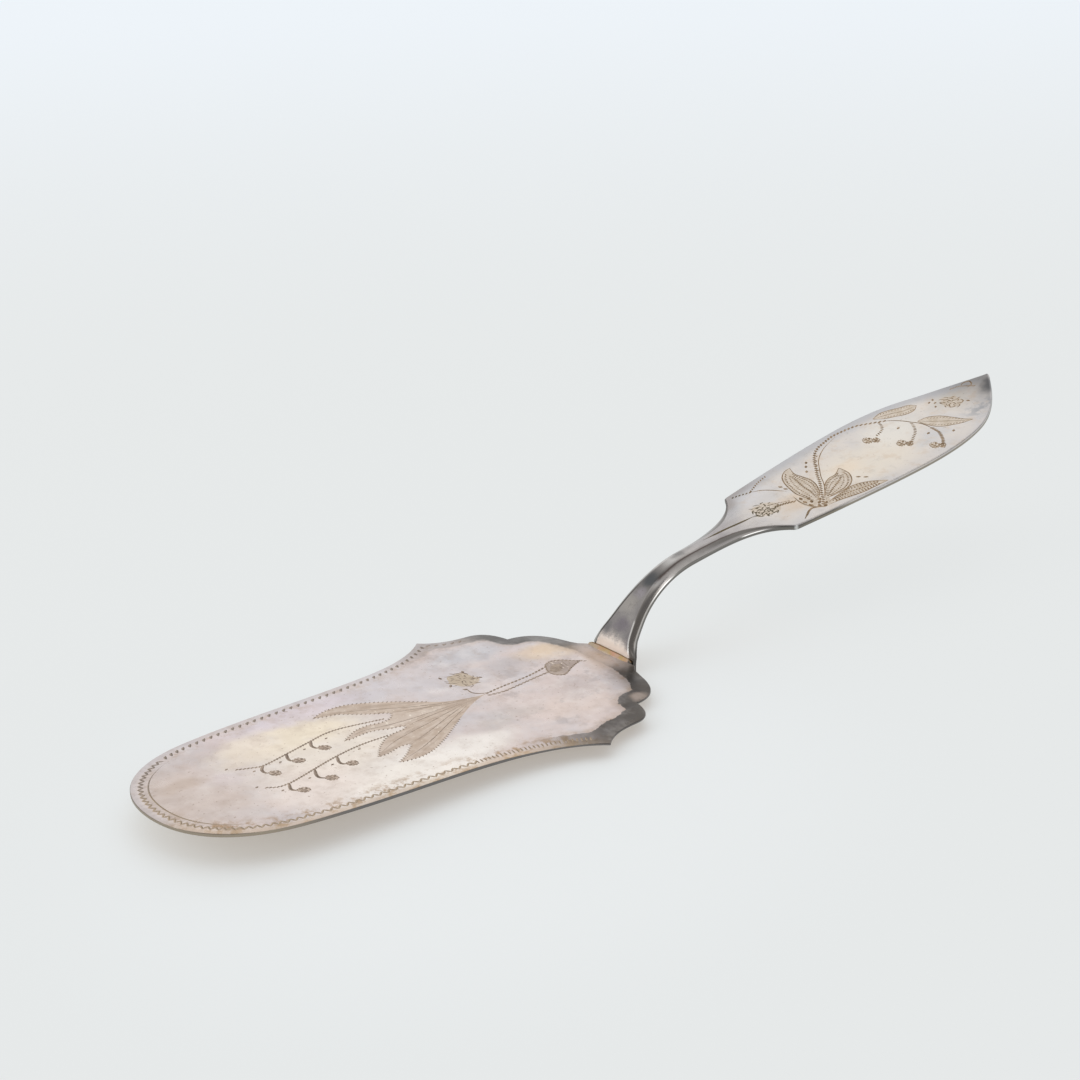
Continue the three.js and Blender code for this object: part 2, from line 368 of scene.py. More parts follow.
def light(color):
    """A colour as linear light. Three numbers are a colour as it shows on screen, from 0 to 255."""
    if not isinstance(color, tuple) or len(color) != 3:
        return color

    def linear(v):
        v /= 255
        return v / 12.92 if v <= 0.04045 else ((v + 0.055) / 1.055) ** 2.4

    return (*map(linear, color), 1.0)


def grey(level):
    return (level, level, level, 1)


class Nodes:
    """Short ways to add and link shader nodes in one material or world, and the colour made so far."""

    def __init__(self, owner):
        owner.use_nodes = True
        self.owner = owner
        self.tree = owner.node_tree
        self.tree.nodes.clear()
        self.color = None

    def add(self, kind, inputs=None, **settings):
        node = self.tree.nodes.new(kind)
        for key, value in settings.items():
            setattr(node, key, value)
        for key, value in (inputs or {}).items():
            if hasattr(value, "is_output"):
                self.tree.links.new(value, node.inputs[key])
            else:
                node.inputs[key].default_value = value
        return node

    def coords(self):
        return self.add("ShaderNodeTexCoord").outputs["Object"]

    def axis(self, name):
        return self.add("ShaderNodeSeparateXYZ", {"Vector": self.coords()}).outputs[name]

    def attribute(self, name):
        return self.add("ShaderNodeAttribute", attribute_name=name).outputs["Fac"]

    def mapped(self, where, scale, place):
        inputs = {"Vector": where, "Scale": scale, "Location": place}
        return self.add("ShaderNodeMapping", inputs).outputs["Vector"]

    def noise(self, scale, detail, rough, stretch=(1, 1, 1), place=(0, 0, 0), twist=0.0):
        where = self.mapped(self.coords(), stretch, place)
        inputs = {"Vector": where, "Scale": scale, "Detail": detail, "Roughness": rough, "Distortion": twist}
        return self.add("ShaderNodeTexNoise", inputs).outputs["Fac"]

    def span(self, value, low, high, to_low=0.0, to_high=1.0, soft=True):
        """0 up to low and 1 from high on, or other values there. It falls where low is the larger."""
        kind = "SMOOTHSTEP" if soft else "LINEAR"
        inputs = {"Value": value, "From Min": low, "From Max": high, "To Min": to_low, "To Max": to_high}
        return self.add("ShaderNodeMapRange", inputs, interpolation_type=kind).outputs["Result"]

    def band(self, value, start, full, fading, end):
        """Rises from 0 to 1 between the first two places, and falls again between the last two."""
        return self.times(self.span(value, start, full), self.span(value, end, fading))

    def math(self, operation, a, b=0.0):
        return self.add("ShaderNodeMath", {0: a, 1: b}, operation=operation).outputs[0]

    def times(self, a, *others):
        for b in others:
            a = self.math("MULTIPLY", a, b)
        return a

    def invert(self, value):
        return self.math("SUBTRACT", 1.0, value)

    def vector(self, operation, a, b):
        second = "Scale" if operation == "SCALE" else 1
        node = self.add("ShaderNodeVectorMath", {0: a, second: b}, operation=operation)
        return node.outputs["Value" if operation == "DOT_PRODUCT" else "Vector"]

    def warped(self, scale, reach):
        """Object coordinates pushed about by noise, by up to about reach in millimetres."""
        source = self.coords()
        inputs = {"Vector": source, "Scale": scale, "Detail": 4.0, "Roughness": 0.6}
        noise = self.add("ShaderNodeTexNoise", inputs).outputs["Color"]
        push = self.vector("SCALE", self.vector("SUBTRACT", noise, (0.5, 0.5, 0.5)), 4 * reach * MM)
        return self.vector("ADD", source, push)

    def blob(self, where, place, size):
        """1 at a place, falling to 0 at a distance of size along each axis, all in millimetres."""
        scale = tuple(1 / (s * MM) for s in size)
        shift = tuple(-p / s for p, s in zip(place, size))
        inputs = {"Vector": self.mapped(where, scale, shift)}
        ball = self.add("ShaderNodeTexGradient", inputs, gradient_type="SPHERICAL")
        return self.span(ball.outputs["Fac"], 0.0, 0.75)

    def mix(self, factor, a, b):
        inputs = {"Factor": factor, 6: light(a), 7: light(b)}
        return self.add("ShaderNodeMix", inputs, data_type="RGBA").outputs[2]

    def tint(self, tone, *masks):
        """Lays a tone over the colour made so far, as strongly as the product of the masks."""
        self.color = self.mix(self.times(*masks), self.color, tone)

    def clouds(self, where, table):
        """Lays on clouds, each with a place, a size, a strength and a tone."""
        for place, size, strength, tone in table:
            self.tint(tone, self.blob(where, place, size), strength)

    def bump(self, height, strength, distance):
        inputs = {"Height": height, "Strength": strength, "Distance": distance}
        return self.add("ShaderNodeBump", inputs).outputs["Normal"]

    def scratches(self):
        """Fine scratches along the piece, as a normal."""
        return self.bump(self.noise(900, 3, 0.6, stretch=(0.12, 1, 1)), 0.12, 0.00002)

    def output(self, kind, shader):
        self.tree.links.new(shader, self.add(kind).inputs["Surface"])

    def finish(self, **inputs):
        """Shades the material with the colour made so far, and gives the material."""
        inputs["Base Color"] = self.color
        shader = self.add("ShaderNodeBsdfPrincipled", inputs)
        self.output("ShaderNodeOutputMaterial", shader.outputs["BSDF"])
        return self.owner


# Looks of the metal, with the place, size, strength and tone of each cloud of tarnish
BLADE_CLOUDS = (
    ((-103, 0), (20, 27), 0.85, (214, 199, 190)),
    ((-99, 6), (7, 4), 0.5, (198, 178, 162)),
    ((-94, -7), (6, 5), 0.45, (203, 184, 172)),
    ((-90, 3), (8, 6), 0.6, (222, 210, 210)),
    ((-66, -2), (30, 17), 0.85, (239, 229, 216)),
    ((-68, 11), (24, 10), 0.8, (244, 231, 207)),
    ((-81, 10), (14, 8), 0.65, (238, 225, 208)),
    ((-58, -18), (34, 11), 0.9, (246, 239, 230)),
    ((-78, -12), (19, 11), 0.75, (239, 226, 217)),
    ((-42, -17), (16, 8), 0.8, (238, 232, 226)),
    ((-62, 19.5), (34, 5), 0.75, (222, 211, 217)),
    ((-36, 17), (18, 9), 0.7, (209, 204, 207)),
    ((-77, 15), (10, 6), 0.6, (242, 230, 217)),
    ((-14, 21), (18, 7), 0.9, (196, 194, 198)),
    ((-10, 10), (11, 6), 0.8, (190, 182, 182)),
    ((-6, -8), (10, 7), 0.7, (194, 180, 176)),
    ((-28, -11), (12, 6), 0.6, (197, 188, 183)),
    ((-14, -15), (14, 8), 0.7, (222, 205, 196)),
    ((2, 11), (11, 6), 0.85, (221, 198, 171)),
    ((7, 0), (5, 9), 0.6, (214, 194, 178)),
    ((10.6, 1), (2.6, 7), 0.8, (214, 190, 166)),
)
GRIP_CLOUDS = (
    ((92, -3, 28), (26, 13, 20), 0.75, (229, 219, 204)),
    ((88, -1, 27), (7, 5, 20), 0.4, (234, 212, 186)),
    ((108, 3, 30), (12, 9, 20), 0.7, (228, 224, 216)),
    ((112, -8, 31), (10, 4, 20), 0.6, (204, 203, 204)),
    ((64, 7, 25), (9, 4, 20), 0.6, (214, 212, 214)),
    ((68, -4, 25), (9, 6, 20), 0.55, (214, 192, 166)),
    ((129, 2, 34), (8, 7, 20), 0.75, (205, 198, 188)),
)
LEAF_CLOUDS = (
    # The joint of the leaves, the bud and the flower
    ((-29, 1.4), (9, 3), 0.5, (184, 163, 146)),
    ((-1.5, 2.2), (9, 8), 0.8, (176, 161, 154)),
    ((-23.4, 10.6), (8, 8), 0.5, (194, 180, 154)),
)
STEM_CLOUDS = (
    ((14.8, -0.5, 9.4), (2.8, 3.2, 2.4), 0.75, (152, 144, 152)),
    ((13.9, 3.6, 8.3), (2.4, 2.4, 2.4), 0.6, (128, 126, 128)),
    ((18.3, 1.5, 13.3), (3.4, 3.6, 3), 0.75, (208, 202, 195)),
    ((20.9, -0.1, 15.4), (2.4, 2.2, 2), 0.65, (206, 198, 205)),
    ((24.2, 0.1, 17.6), (3.4, 3, 2.8), 0.85, (142, 146, 150)),
    ((30.8, 0.6, 20.3), (3.4, 2.6, 3), 0.75, (212, 210, 207)),
    ((33.5, 1, 21), (2.6, 2.4, 3), 0.85, (128, 126, 125)),
    ((37.2, 1.8, 21.6), (3, 2.4, 4), 0.6, (150, 148, 148)),
    ((40.6, 1.6, 21.9), (4, 3, 4), 0.6, (170, 167, 168)),
)
BLADE_LEVEL, ALL_HEIGHTS = 4, 60
# Place of the joint that the rays fan out from, in metres, with their count and length, and the foot's arch
FAN_X, FAN_Y, FAN_COUNT, FAN_LENGTH = -0.021, 0.0012, 9.0, 30.0
FOOT_ARCH = 36.0


def on_blade(table):
    """The blade's clouds, which are flat in the table and reach through all heights."""
    return [((*place, BLADE_LEVEL), (*size, ALL_HEIGHTS), *look) for place, size, *look in table]


def blade_silver():
    n = Nodes(bpy.data.materials.new("blade_silver"))
    edge, along, across = n.attribute("edge"), n.axis("X"), n.axis("Y")
    n.color = n.mix(n.span(n.noise(70, 6, 0.62, twist=0.4), 0.36, 0.66), (215, 200, 195), (207, 200, 201))
    n.clouds(n.warped(70, 3.0), on_blade(BLADE_CLOUDS))
    blotch = n.span(n.noise(140, 6, 0.7, place=(0.5, 0, 0)), 0.52, 0.64)
    n.tint((172, 162, 160), blotch, n.span(along, -0.04, -0.016), 0.5)
    grain = n.span(n.noise(240, 6, 0.72, place=(0.2, 0, 0)), 0.46, 0.72)
    n.tint((186, 166, 152), grain, 0.34)
    haze = n.span(n.noise(160, 5, 0.6, place=(0, 0.7, 0)), 0.5, 0.74)
    n.tint((238, 232, 228), haze, 0.3)
    near_side = n.span(across, -0.002, -0.012)
    stain = n.span(n.noise(330, 6, 0.7), 0.47, 0.62)
    by_edge = n.times(n.span(edge, 7.0, 2.5), n.span(near_side, 0.0, 1.0, 0.35, 0.9))
    n.tint((172, 142, 110), stain, by_edge)
    specks = n.span(n.noise(1300, 3, 0.6), 0.64, 0.72)
    n.tint((146, 122, 102), specks, 0.55)
    # Plain rim outside the border, cooler at the far side of the tip and browner at the near side
    n.tint(n.mix(near_side, (202, 197, 199), (200, 178, 150)), n.span(edge, 2.2, 0.9), 0.5)
    tab = n.blob(n.warped(200, 0.8), (10.5, 1.6, 3), (9, 12.5, 60))
    rear_rim_shade(n, tab)
    # Painted shade on the edge wall, paler and browner toward the tip
    wall = n.mix(n.span(along, -0.098, -0.075), (164, 152, 136), (122, 119, 117))
    n.tint(wall, n.span(edge, -0.2, -0.6))
    rough = n.math("ADD", n.span(n.noise(260, 5, 0.6), 0.3, 0.7, 0.27, 0.4), n.times(tab, 0.3))
    return n.finish(Metallic=n.span(tab, 0.0, 0.8, 1.0, 0.5), Roughness=rough, Normal=n.scratches())


def rear_rim_shade(n, tab):
    """Painted shade on the scalloped rear rim, standing for the dark that its sloping rim mirrors, wider at
    the near side and left off on the tab.
    """
    edge, along, across = n.attribute("edge"), n.axis("X"), n.axis("Y")
    ear = n.math("MAXIMUM", n.span(across, 0.014, 0.006), n.span(along, -0.013, -0.004, 0.42, 1.0))
    rear = n.times(n.span(along, -0.036, -0.014), ear)
    wide = n.span(across, -0.004, 0.012, 4.4, 3.9)
    ragged = n.span(n.noise(300, 5, 0.65, place=(0, 0.2, 0)), 0.2, 0.8, -0.8, 0.8, soft=False)
    depth = n.math("SUBTRACT", n.math("ADD", wide, ragged), edge)
    faint = n.span(across, -0.004, 0.012, -0.1, -0.9)
    dark = n.times(n.span(depth, faint, 0.12), rear, n.invert(tab))
    # Two tones of painted shade, darkest on the outer near lobe, with a painted highlight on that lobe's near
    # part
    lighter_part = n.span(n.noise(210, 4, 0.6, place=(0, 0.2, 0)), 0.42, 0.66)
    rim_shade = n.mix(lighter_part, (78, 74, 70), (118, 114, 111))
    where = n.warped(300, 0.8)
    lobe = n.blob(where, (6.2, -16.2, 3), (5.5, 6, 60))
    rim_shade = n.mix(n.times(lobe, 0.9), rim_shade, (54, 48, 43))
    lobe_highlight = n.blob(where, (1.8, -20.6, 3), (3.4, 2.6, 60))
    rim_shade = n.mix(n.times(lobe_highlight, 0.8), rim_shade, (172, 157, 147))
    n.tint(rim_shade, dark, 0.95)
    fringe = n.times(n.span(depth, -2.6, -0.2), rear, n.invert(dark))
    n.tint((160, 138, 116), fringe, 0.3)


def handle_silver():
    n = Nodes(bpy.data.materials.new("handle_silver"))
    along = n.axis("X")
    clouds = n.span(n.noise(75, 6, 0.62, twist=0.4), 0.36, 0.66)
    stem, grip = stem_tone(n, clouds), grip_tone(n, clouds)
    n.color = n.mix(n.span(along, 0.044, 0.064), stem, grip)
    smudge = n.span(n.noise(330, 6, 0.7, place=(0.1, 0, 0)), 0.54, 0.68)
    n.tint((150, 146, 142), smudge, n.span(along, 0.045, 0.075, 0.4, 0.16))
    specks = n.span(n.noise(1300, 3, 0.6), 0.66, 0.73)
    n.tint((140, 122, 104), specks, 0.45)
    bend_crease_and_bevel_shade(n)
    foot = foot_tones_and_highlights(n)
    side_highlight_and_shade(n)
    corner_highlight_and_dark_end(n)
    matt = n.span(foot, 0.0, 1.0, 1.0, 0.2)
    return n.finish(Metallic=matt, Roughness=n.span(along, 0.035, 0.07, 0.17, 0.33), Normal=n.scratches())


def stem_tone(n, clouds):
    """Grey silver, with streaks along the stem."""
    n.color = n.mix(clouds, (192, 187, 183), (168, 163, 163))
    streak = n.span(n.noise(260, 4, 0.6, stretch=(0.35, 1, 0.35)), 0.48, 0.68)
    n.tint((138, 132, 134), streak, 0.4)
    n.clouds(n.warped(300, 0.7), STEM_CLOUDS)
    return n.color


def grip_tone(n, clouds):
    """Paler silver, warm in places and cool by the edges, most at the far side."""
    n.color = n.mix(clouds, (220, 212, 204), (208, 204, 202))
    n.clouds(n.warped(80, 2.4), GRIP_CLOUDS)
    warm = n.span(n.noise(230, 6, 0.7, place=(0, 0, 0.4)), 0.5, 0.68)
    n.tint((206, 184, 160), warm, 0.4)
    cool = n.times(n.span(n.attribute("edge"), 5.5, 0.8), n.span(n.axis("Y"), -0.004, 0.006, 0.25, 1.0))
    n.tint((178, 179, 184), cool, 0.75)
    return n.color


def bend_crease_and_bevel_shade(n):
    """Dark lines in the near crease of the upper stem, a darker band by the far shoulder, and painted shade
    on the bevels and walls there.
    """
    along, across, edge, slope = n.axis("X"), n.axis("Y"), n.attribute("edge"), n.attribute("slope")
    gap = n.math("ABSOLUTE", edge)
    near_half = n.times(n.span(along, 0.0235, 0.026), n.span(across, 0.001, -0.0005))
    n.tint((108, 101, 98), n.span(gap, 1.3, 0.2), near_half, n.span(along, 0.052, 0.036), 0.6)
    thin = n.span(n.noise(700, 3, 0.6), 0.3, 0.7, 0.3, 0.6)
    n.tint((88, 78, 74), n.span(gap, thin, 0.08), near_half, n.span(along, 0.066, 0.045), 0.92)
    shoulder = n.band(along, 0.05, 0.056, 0.062, 0.075)
    n.tint((148, 138, 133), n.span(edge, 3.2, 0.4), n.span(across, 0.005, 0.008), shoulder, 0.6)
    # Painted shade on the bevels of the upper stem and shoulders, and on the shoulder walls
    n.tint((146, 143, 139), n.span(slope, 0.05, 0.15), n.band(along, 0.027, 0.031, 0.05, 0.056), 0.45)
    upper = n.band(slope, 0.04, 0.12, 0.5, 0.8)
    n.tint((104, 101, 96), upper, n.band(along, 0.036, 0.045, 0.054, 0.058), 0.75)
    n.tint((88, 85, 80), n.span(edge, -0.05, -0.4), n.band(along, 0.05, 0.058, 0.07, 0.078), 0.9)


def foot_tones_and_highlights(n):
    """A pale foot and a crease bright near, both painted highlights, an olive bevel, and a crease dull far.
    Gives the pale foot.
    """
    across, high, slope = n.axis("Y"), n.axis("Z"), n.attribute("slope")
    ragged = n.span(n.noise(420, 4, 0.6, place=(0, 0.3, 0)), 0.2, 0.8, -0.0008, 0.0008)
    arch = n.math("ADD", n.math("ADD", high, ragged), n.times(across, across, FOOT_ARCH))
    foot = n.times(n.span(arch, 0.0082, 0.005), n.span(slope, 0.1, 0.0))
    # Painted highlight: the pale foot, where the blade is mirrored
    n.tint((252, 238, 226), foot)
    n.tint((146, 140, 131), n.band(slope, 0.06, 0.16, 0.88, 0.92), n.span(high, 0.015, 0.0115), 0.85)
    n.tint((148, 143, 137), n.span(slope, 0.06, 0.16), n.band(high, 0.0115, 0.0135, 0.0158, 0.0178), 0.85)
    # Painted highlight along the near, low part of the crease
    shine = n.band(slope, 0.0, 0.05, 0.1, 0.19)
    n.tint((252, 248, 244), shine, n.span(high, 0.0112, 0.0102), n.span(across, 0.0, -0.001))
    n.tint((112, 108, 106), shine, n.span(high, 0.0195, 0.018), n.span(across, 0.0, 0.001, 0.0, 0.8))
    return foot


def side_highlight_and_shade(n):
    """A painted highlight along the bottom of the bevel, bright by the bend, above a wall and a root darkened
    with painted shade.
    """
    along, high, slope = n.axis("X"), n.axis("Z"), n.attribute("slope")
    line = n.band(slope, 0.91, 0.93, 1.0, 1.1)
    lighter_part = n.math("MAXIMUM", n.span(high, 0.019, 0.0175), n.band(along, 0.048, 0.05, 0.053, 0.056))
    n.tint(n.mix(n.span(high, 0.0128, 0.0165), (150, 148, 144), (250, 249, 246)), line, lighter_part)
    n.tint((120, 118, 114), line, n.invert(lighter_part), n.span(along, 0.06, 0.05))
    # Painted shade on the side wall
    wall = n.mix(n.span(along, 0.055, 0.07), (118, 115, 111), (146, 138, 124))
    n.tint(wall, n.band(slope, 1.02, 1.2, 1.93, 1.99), n.span(high, 0.05, 0.02, 0.7, 0.9))
    # Painted shade at the root, where the stem meets the blade
    n.tint((84, 81, 78), n.band(slope, 0.84, 0.9, 1.95, 1.995), n.span(high, 0.0062, 0.0045), 0.9)


def corner_highlight_and_dark_end(n):
    """A painted highlight on the near shoulder's corner, and a dark end of the grip."""
    corner = n.blob(n.warped(300, 0.4), (59.4, -12.3, 24.2), (0.9, 0.9, 3))
    n.tint((236, 236, 234), corner, n.span(n.attribute("edge"), 0.4, 0.0), 0.8)
    n.tint((134, 133, 134), n.blob(n.warped(240, 1.2), (138.8, -3.4, 38.5), (4.6, 4, 9)))
    patch = n.blob(n.warped(80, 2.4), (132, -7, 35), (8, 5, 9))
    n.tint((164, 165, 168), patch, n.span(n.noise(380, 5, 0.65), 0.44, 0.56), 0.8)


def cut_silver(name, dark, pale, low=None, border=None):
    """Tarnished silver in the cuts, with another tone low on the handle or by the edge where that is set."""
    n = Nodes(bpy.data.materials.new(name))
    n.color = n.mix(n.span(n.noise(700, 4, 0.6), 0.35, 0.65), dark, pale)
    if low:
        n.tint(low, n.span(n.axis("X"), 0.068, 0.061))
    if border:
        n.tint(n.mix(n.span(n.axis("Y"), 0.004, 0.012), *border), n.span(n.attribute("edge"), 4.2, 3.9))
    return n.finish(Metallic=0.8, Roughness=0.5)


def leaf_silver(name, tone, pale, rays=False):
    """Matted silver in the leaves and flower heads, with the rays of the blade's fan where that is set."""
    n = Nodes(bpy.data.materials.new(name))
    n.color = n.mix(n.span(n.noise(420, 5, 0.65), 0.36, 0.64), tone, pale)
    if rays:
        fan_rays(n)
    glints = n.span(n.noise(1300, 2, 0.5), 0.66, 0.72)
    n.tint((238, 226, 210), glints)
    return n.finish(Metallic=1.0, Roughness=0.5, Normal=n.bump(n.noise(1500, 2, 0.5), 0.3, 0.00003))


def fan_rays(n):
    """Rays that fan out from the joint of the stems, and a pale middle with sparks."""
    x, y = n.math("SUBTRACT", n.axis("X"), FAN_X), n.math("SUBTRACT", n.axis("Y"), FAN_Y)
    turn = n.times(n.math("ARCTAN2", y, n.times(x, -1.0)), FAN_COUNT)
    fan = n.add("ShaderNodeCombineXYZ", {"X": turn, "Y": n.times(x, FAN_LENGTH)}).outputs["Vector"]
    streak = n.add("ShaderNodeTexNoise", {"Vector": fan, "Scale": 2.2, "Detail": 3.0}).outputs["Fac"]
    n.tint((228, 213, 200), n.span(streak, 0.52, 0.64), 0.6)
    n.tint((176, 155, 138), n.span(streak, 0.46, 0.36), 0.4)
    where = n.warped(160, 1.4)
    middle = n.blob(where, (-46, 2.5, 4), (13, 3.2, 60))
    n.tint((230, 216, 204), middle, 0.55)
    sparks = n.span(n.noise(800, 2, 0.5, place=(0.1, 0, 0)), 0.58, 0.63)
    n.tint((250, 240, 226), sparks, middle, 0.8)
    n.clouds(where, on_blade(LEAF_CLOUDS))


def solder_brass():
    n = Nodes(bpy.data.materials.new("solder_brass"))
    across = n.axis("Y")
    n.color = n.mix(n.span(n.noise(330, 4, 0.6), 0.42, 0.58), (196, 150, 124), (184, 156, 104))
    pale = n.span(n.noise(520, 4, 0.6, place=(0.3, 0, 0)), 0.48, 0.62)
    n.tint((188, 170, 148), pale, 0.5)
    ends = n.math("MAXIMUM", n.span(across, 0.0035, 0.006), n.span(across, -0.0045, -0.0065))
    n.tint((176, 160, 140), ends, 0.85)
    # Painted shade on the near end, in the corner by the near lobe
    n.tint((96, 88, 80), n.span(across, -0.0056, -0.0061))
    toe = n.span(n.axis("X"), 0.0113, 0.011)
    n.tint((196, 180, 164), toe, n.span(across, -0.006, -0.0056, 0.0, 0.7))
    seam = n.span(n.attribute("seam"), 0.7, 1.0)
    n.tint((138, 110, 76), seam, n.span(across, 0.0072, 0.0066))
    return n.finish(Metallic=0.1, Roughness=0.5, Normal=n.bump(n.noise(900, 3, 0.5), 0.2, 0.00005))


BLADE_CUTS = cut_silver("engraved_lines", (152, 135, 121), (184, 166, 149),
                        border=((186, 168, 146), (166, 153, 142)))
GRIP_CUTS = cut_silver("engraved_grip_lines", (146, 122, 94), (180, 156, 128), low=(110, 99, 78))
BLADE_LEAVES = leaf_silver("engraved_leaves", (206, 187, 170), (220, 204, 190), rays=True)
GRIP_LEAVES = leaf_silver("engraved_grip_leaves", (212, 198, 180), (228, 217, 204))


# Blade


def blade_half(steps=36):
    tip_x = TAB_X - BLADE_LENGTH
    half = [(tip_x, 0.0)]
    sweep(half, tip_x + TIP_LENGTH, TIP_WIDTH / 2, TIP_EDGE, SIDE_EDGE, steps=steps)
    sweep(half, TAB_X - CORNER_SETBACK, CORNER_WIDTH / 2, SIDE_EDGE, FLARE_EDGE, PULL, SHORT_PULL, steps)
    sweep(half, TAB_X - HOLLOW_SETBACK, HOLLOW_WIDTH / 2, CORNER_EDGE, HOLLOW_EDGE, PULL, SHORT_PULL, steps)
    sweep(half, TAB_X - CUSP_SETBACK, CUSP_WIDTH / 2, HOLLOW_EDGE, LOBE_END_EDGE, steps=steps)
    sweep(half, TAB_X - TAB_LENGTH, TAB_WIDTH / 2 + TAB_FLARE, HOLLOW_EDGE, LOBE_END_EDGE, steps=steps)
    half.append((TAB_X, TAB_WIDTH / 2))
    return np.array(half)


def blade_outline():
    """The blade's closed outline, anticlockwise from above."""
    left = blade_half()
    right = left[1:] * (1, -1)
    return np.vstack([left[:1], right, left[1:][::-1]])


def blade_fan(e):
    """Four leaves that fan out from the joint of the stems, with nicked edges."""
    fan = [(-23.4, 1.5), (-26.0, 1.6), (-32.8, 3.7), (-37.9, 7.6), (-41.5, 10.6), (-46.2, 13.9),
           (-51.1, 16.3), (-55.1, 16.8), (-57.7, 16.4), (-60.2, 15.4), (-60.3, 15.1), (-57.7, 14.3),
           (-55.0, 13.4), (-51.8, 10.8), (-48.4, 8.4), (-46.2, 7.0), (-46.6, 5.6), (-48.4, 4.4),
           (-50.9, 4.3), (-53.2, 4.9), (-56.5, 4.6), (-59.0, 3.5), (-61.2, 2.1), (-61.2, 1.9), (-59.4, 1.8),
           (-57.2, 2.1), (-53.7, 1.9), (-51.1, 0.7), (-48.2, 0.0), (-47.4, -0.7), (-48.7, -1.5),
           (-51.8, -1.8), (-54.5, -2.9), (-57.5, -5.2), (-60.2, -8.5), (-60.2, -8.8), (-58.0, -8.8),
           (-54.4, -7.8), (-52.0, -8.0), (-51.8, -8.6), (-53.0, -9.6), (-55.3, -11.6), (-58.2, -13.4),
           (-58.2, -13.7), (-56.1, -14.2), (-52.8, -14.3), (-49.2, -13.3), (-45.3, -11.2), (-40.7, -8.2),
           (-35.6, -4.7), (-30.3, -1.3), (-26.1, 0.7)]
    e.fill(fan)
    nicks = through(fan, 0.9, closed=True)
    e.beads(nicks[nicks[:, 0] < LEAF_NICKS_END], spacing=0.95, width=0.36, lean=1.1, length=0.7)
    ribs = (
        [(-58.5, 15.4), (-52.0, 13.0), (-46.0, 9.6), (-40.0, 6.2), (-33.0, 3.2), (-27.0, 1.7)],
        [(-46.2, 7.0), (-41.0, 5.2), (-35.0, 3.1), (-29.0, 1.6)],
        [(-60.0, 2.6), (-55.5, 3.4), (-50.0, 2.3), (-44.0, 1.7), (-37.0, 1.5), (-30.0, 1.3)],
        [(-47.4, -0.7), (-43.0, 0.0), (-37.0, 0.5), (-31.0, 0.8)],
        [(-59.2, -7.8), (-54.0, -5.2), (-48.0, -3.6), (-42.0, -2.3), (-36.0, -0.8), (-30.0, 0.5)],
        [(-51.8, -8.4), (-46.5, -6.4), (-41.0, -4.1), (-35.5, -1.8), (-30.0, 0.2)],
        [(-57.0, -13.2), (-51.5, -11.4), (-46.0, -8.9), (-40.5, -5.9), (-35.0, -2.9), (-29.5, 0.0)],
    )
    for rib in ribs:
        e.cut(rib, width=0.22, ends=0.3)


def blade_sprays(e):
    """Two sprays of hanging bells."""
    sprays = (
        [(-49.0, 5.4), (-58.1, 7.3), (-63.0, 7.4), (-67.5, 6.3), (-74.3, 4.6), (-81.0, 3.1), (-83.8, 3.8),
         (-86.5, 5.0)],
        [(-53.2, -1.8), (-59.9, -1.8), (-66.7, -2.9), (-73.6, -4.8), (-77.2, -5.9), (-81.4, -7.0),
         (-84.2, -6.9), (-86.2, -5.7)],
    )
    for spray in sprays:
        e.cut(spray, width=0.34, ends=0.6)
        e.beads(spray, spacing=0.8, width=0.46, lean=0.9, length=0.8)
    hooks = (
        ([(-67.1, 6.4), (-68.3, 4.5), (-68.2, 3.0), (-67.6, 2.6)], (-66.6, 2.0)),
        ([(-74.5, 4.6), (-75.5, 2.6), (-75.6, 1.4), (-75.0, 1.0)], (-74.2, 0.4)),
        ([(-81.2, 3.2), (-82.5, 1.7), (-82.8, 0.4), (-82.4, -0.4)], (-81.2, -1.3)),
        ([(-67.0, -3.0), (-68.2, -5.6), (-68.0, -6.8), (-67.2, -7.2)], (-66.3, -7.7)),
        ([(-74.0, -5.0), (-75.3, -7.8), (-75.2, -9.0), (-74.6, -9.6)], (-73.4, -10.4)),
        ([(-81.6, -7.0), (-82.7, -9.2), (-82.5, -10.2), (-81.9, -10.6)], (-80.9, -11.2)),
    )
    for seed, (hook, spot) in enumerate(hooks):
        e.cut(hook, width=0.74, ends=0.6)
        bell(e, *spot, wide=1.3, tall=1.15, seed=seed)
    for x, y in ((-63.9, 5.4), (-70.4, 4.0), (-77.6, 2.2), (-84.1, 2.1), (-88.1, 6.4), (-61.4, -3.2),
                 (-69.9, -5.6), (-77.0, -7.7), (-84.3, -8.8), (-87.6, -4.3)):
        e.dot(x, y, radius=0.36, lean=0.4)


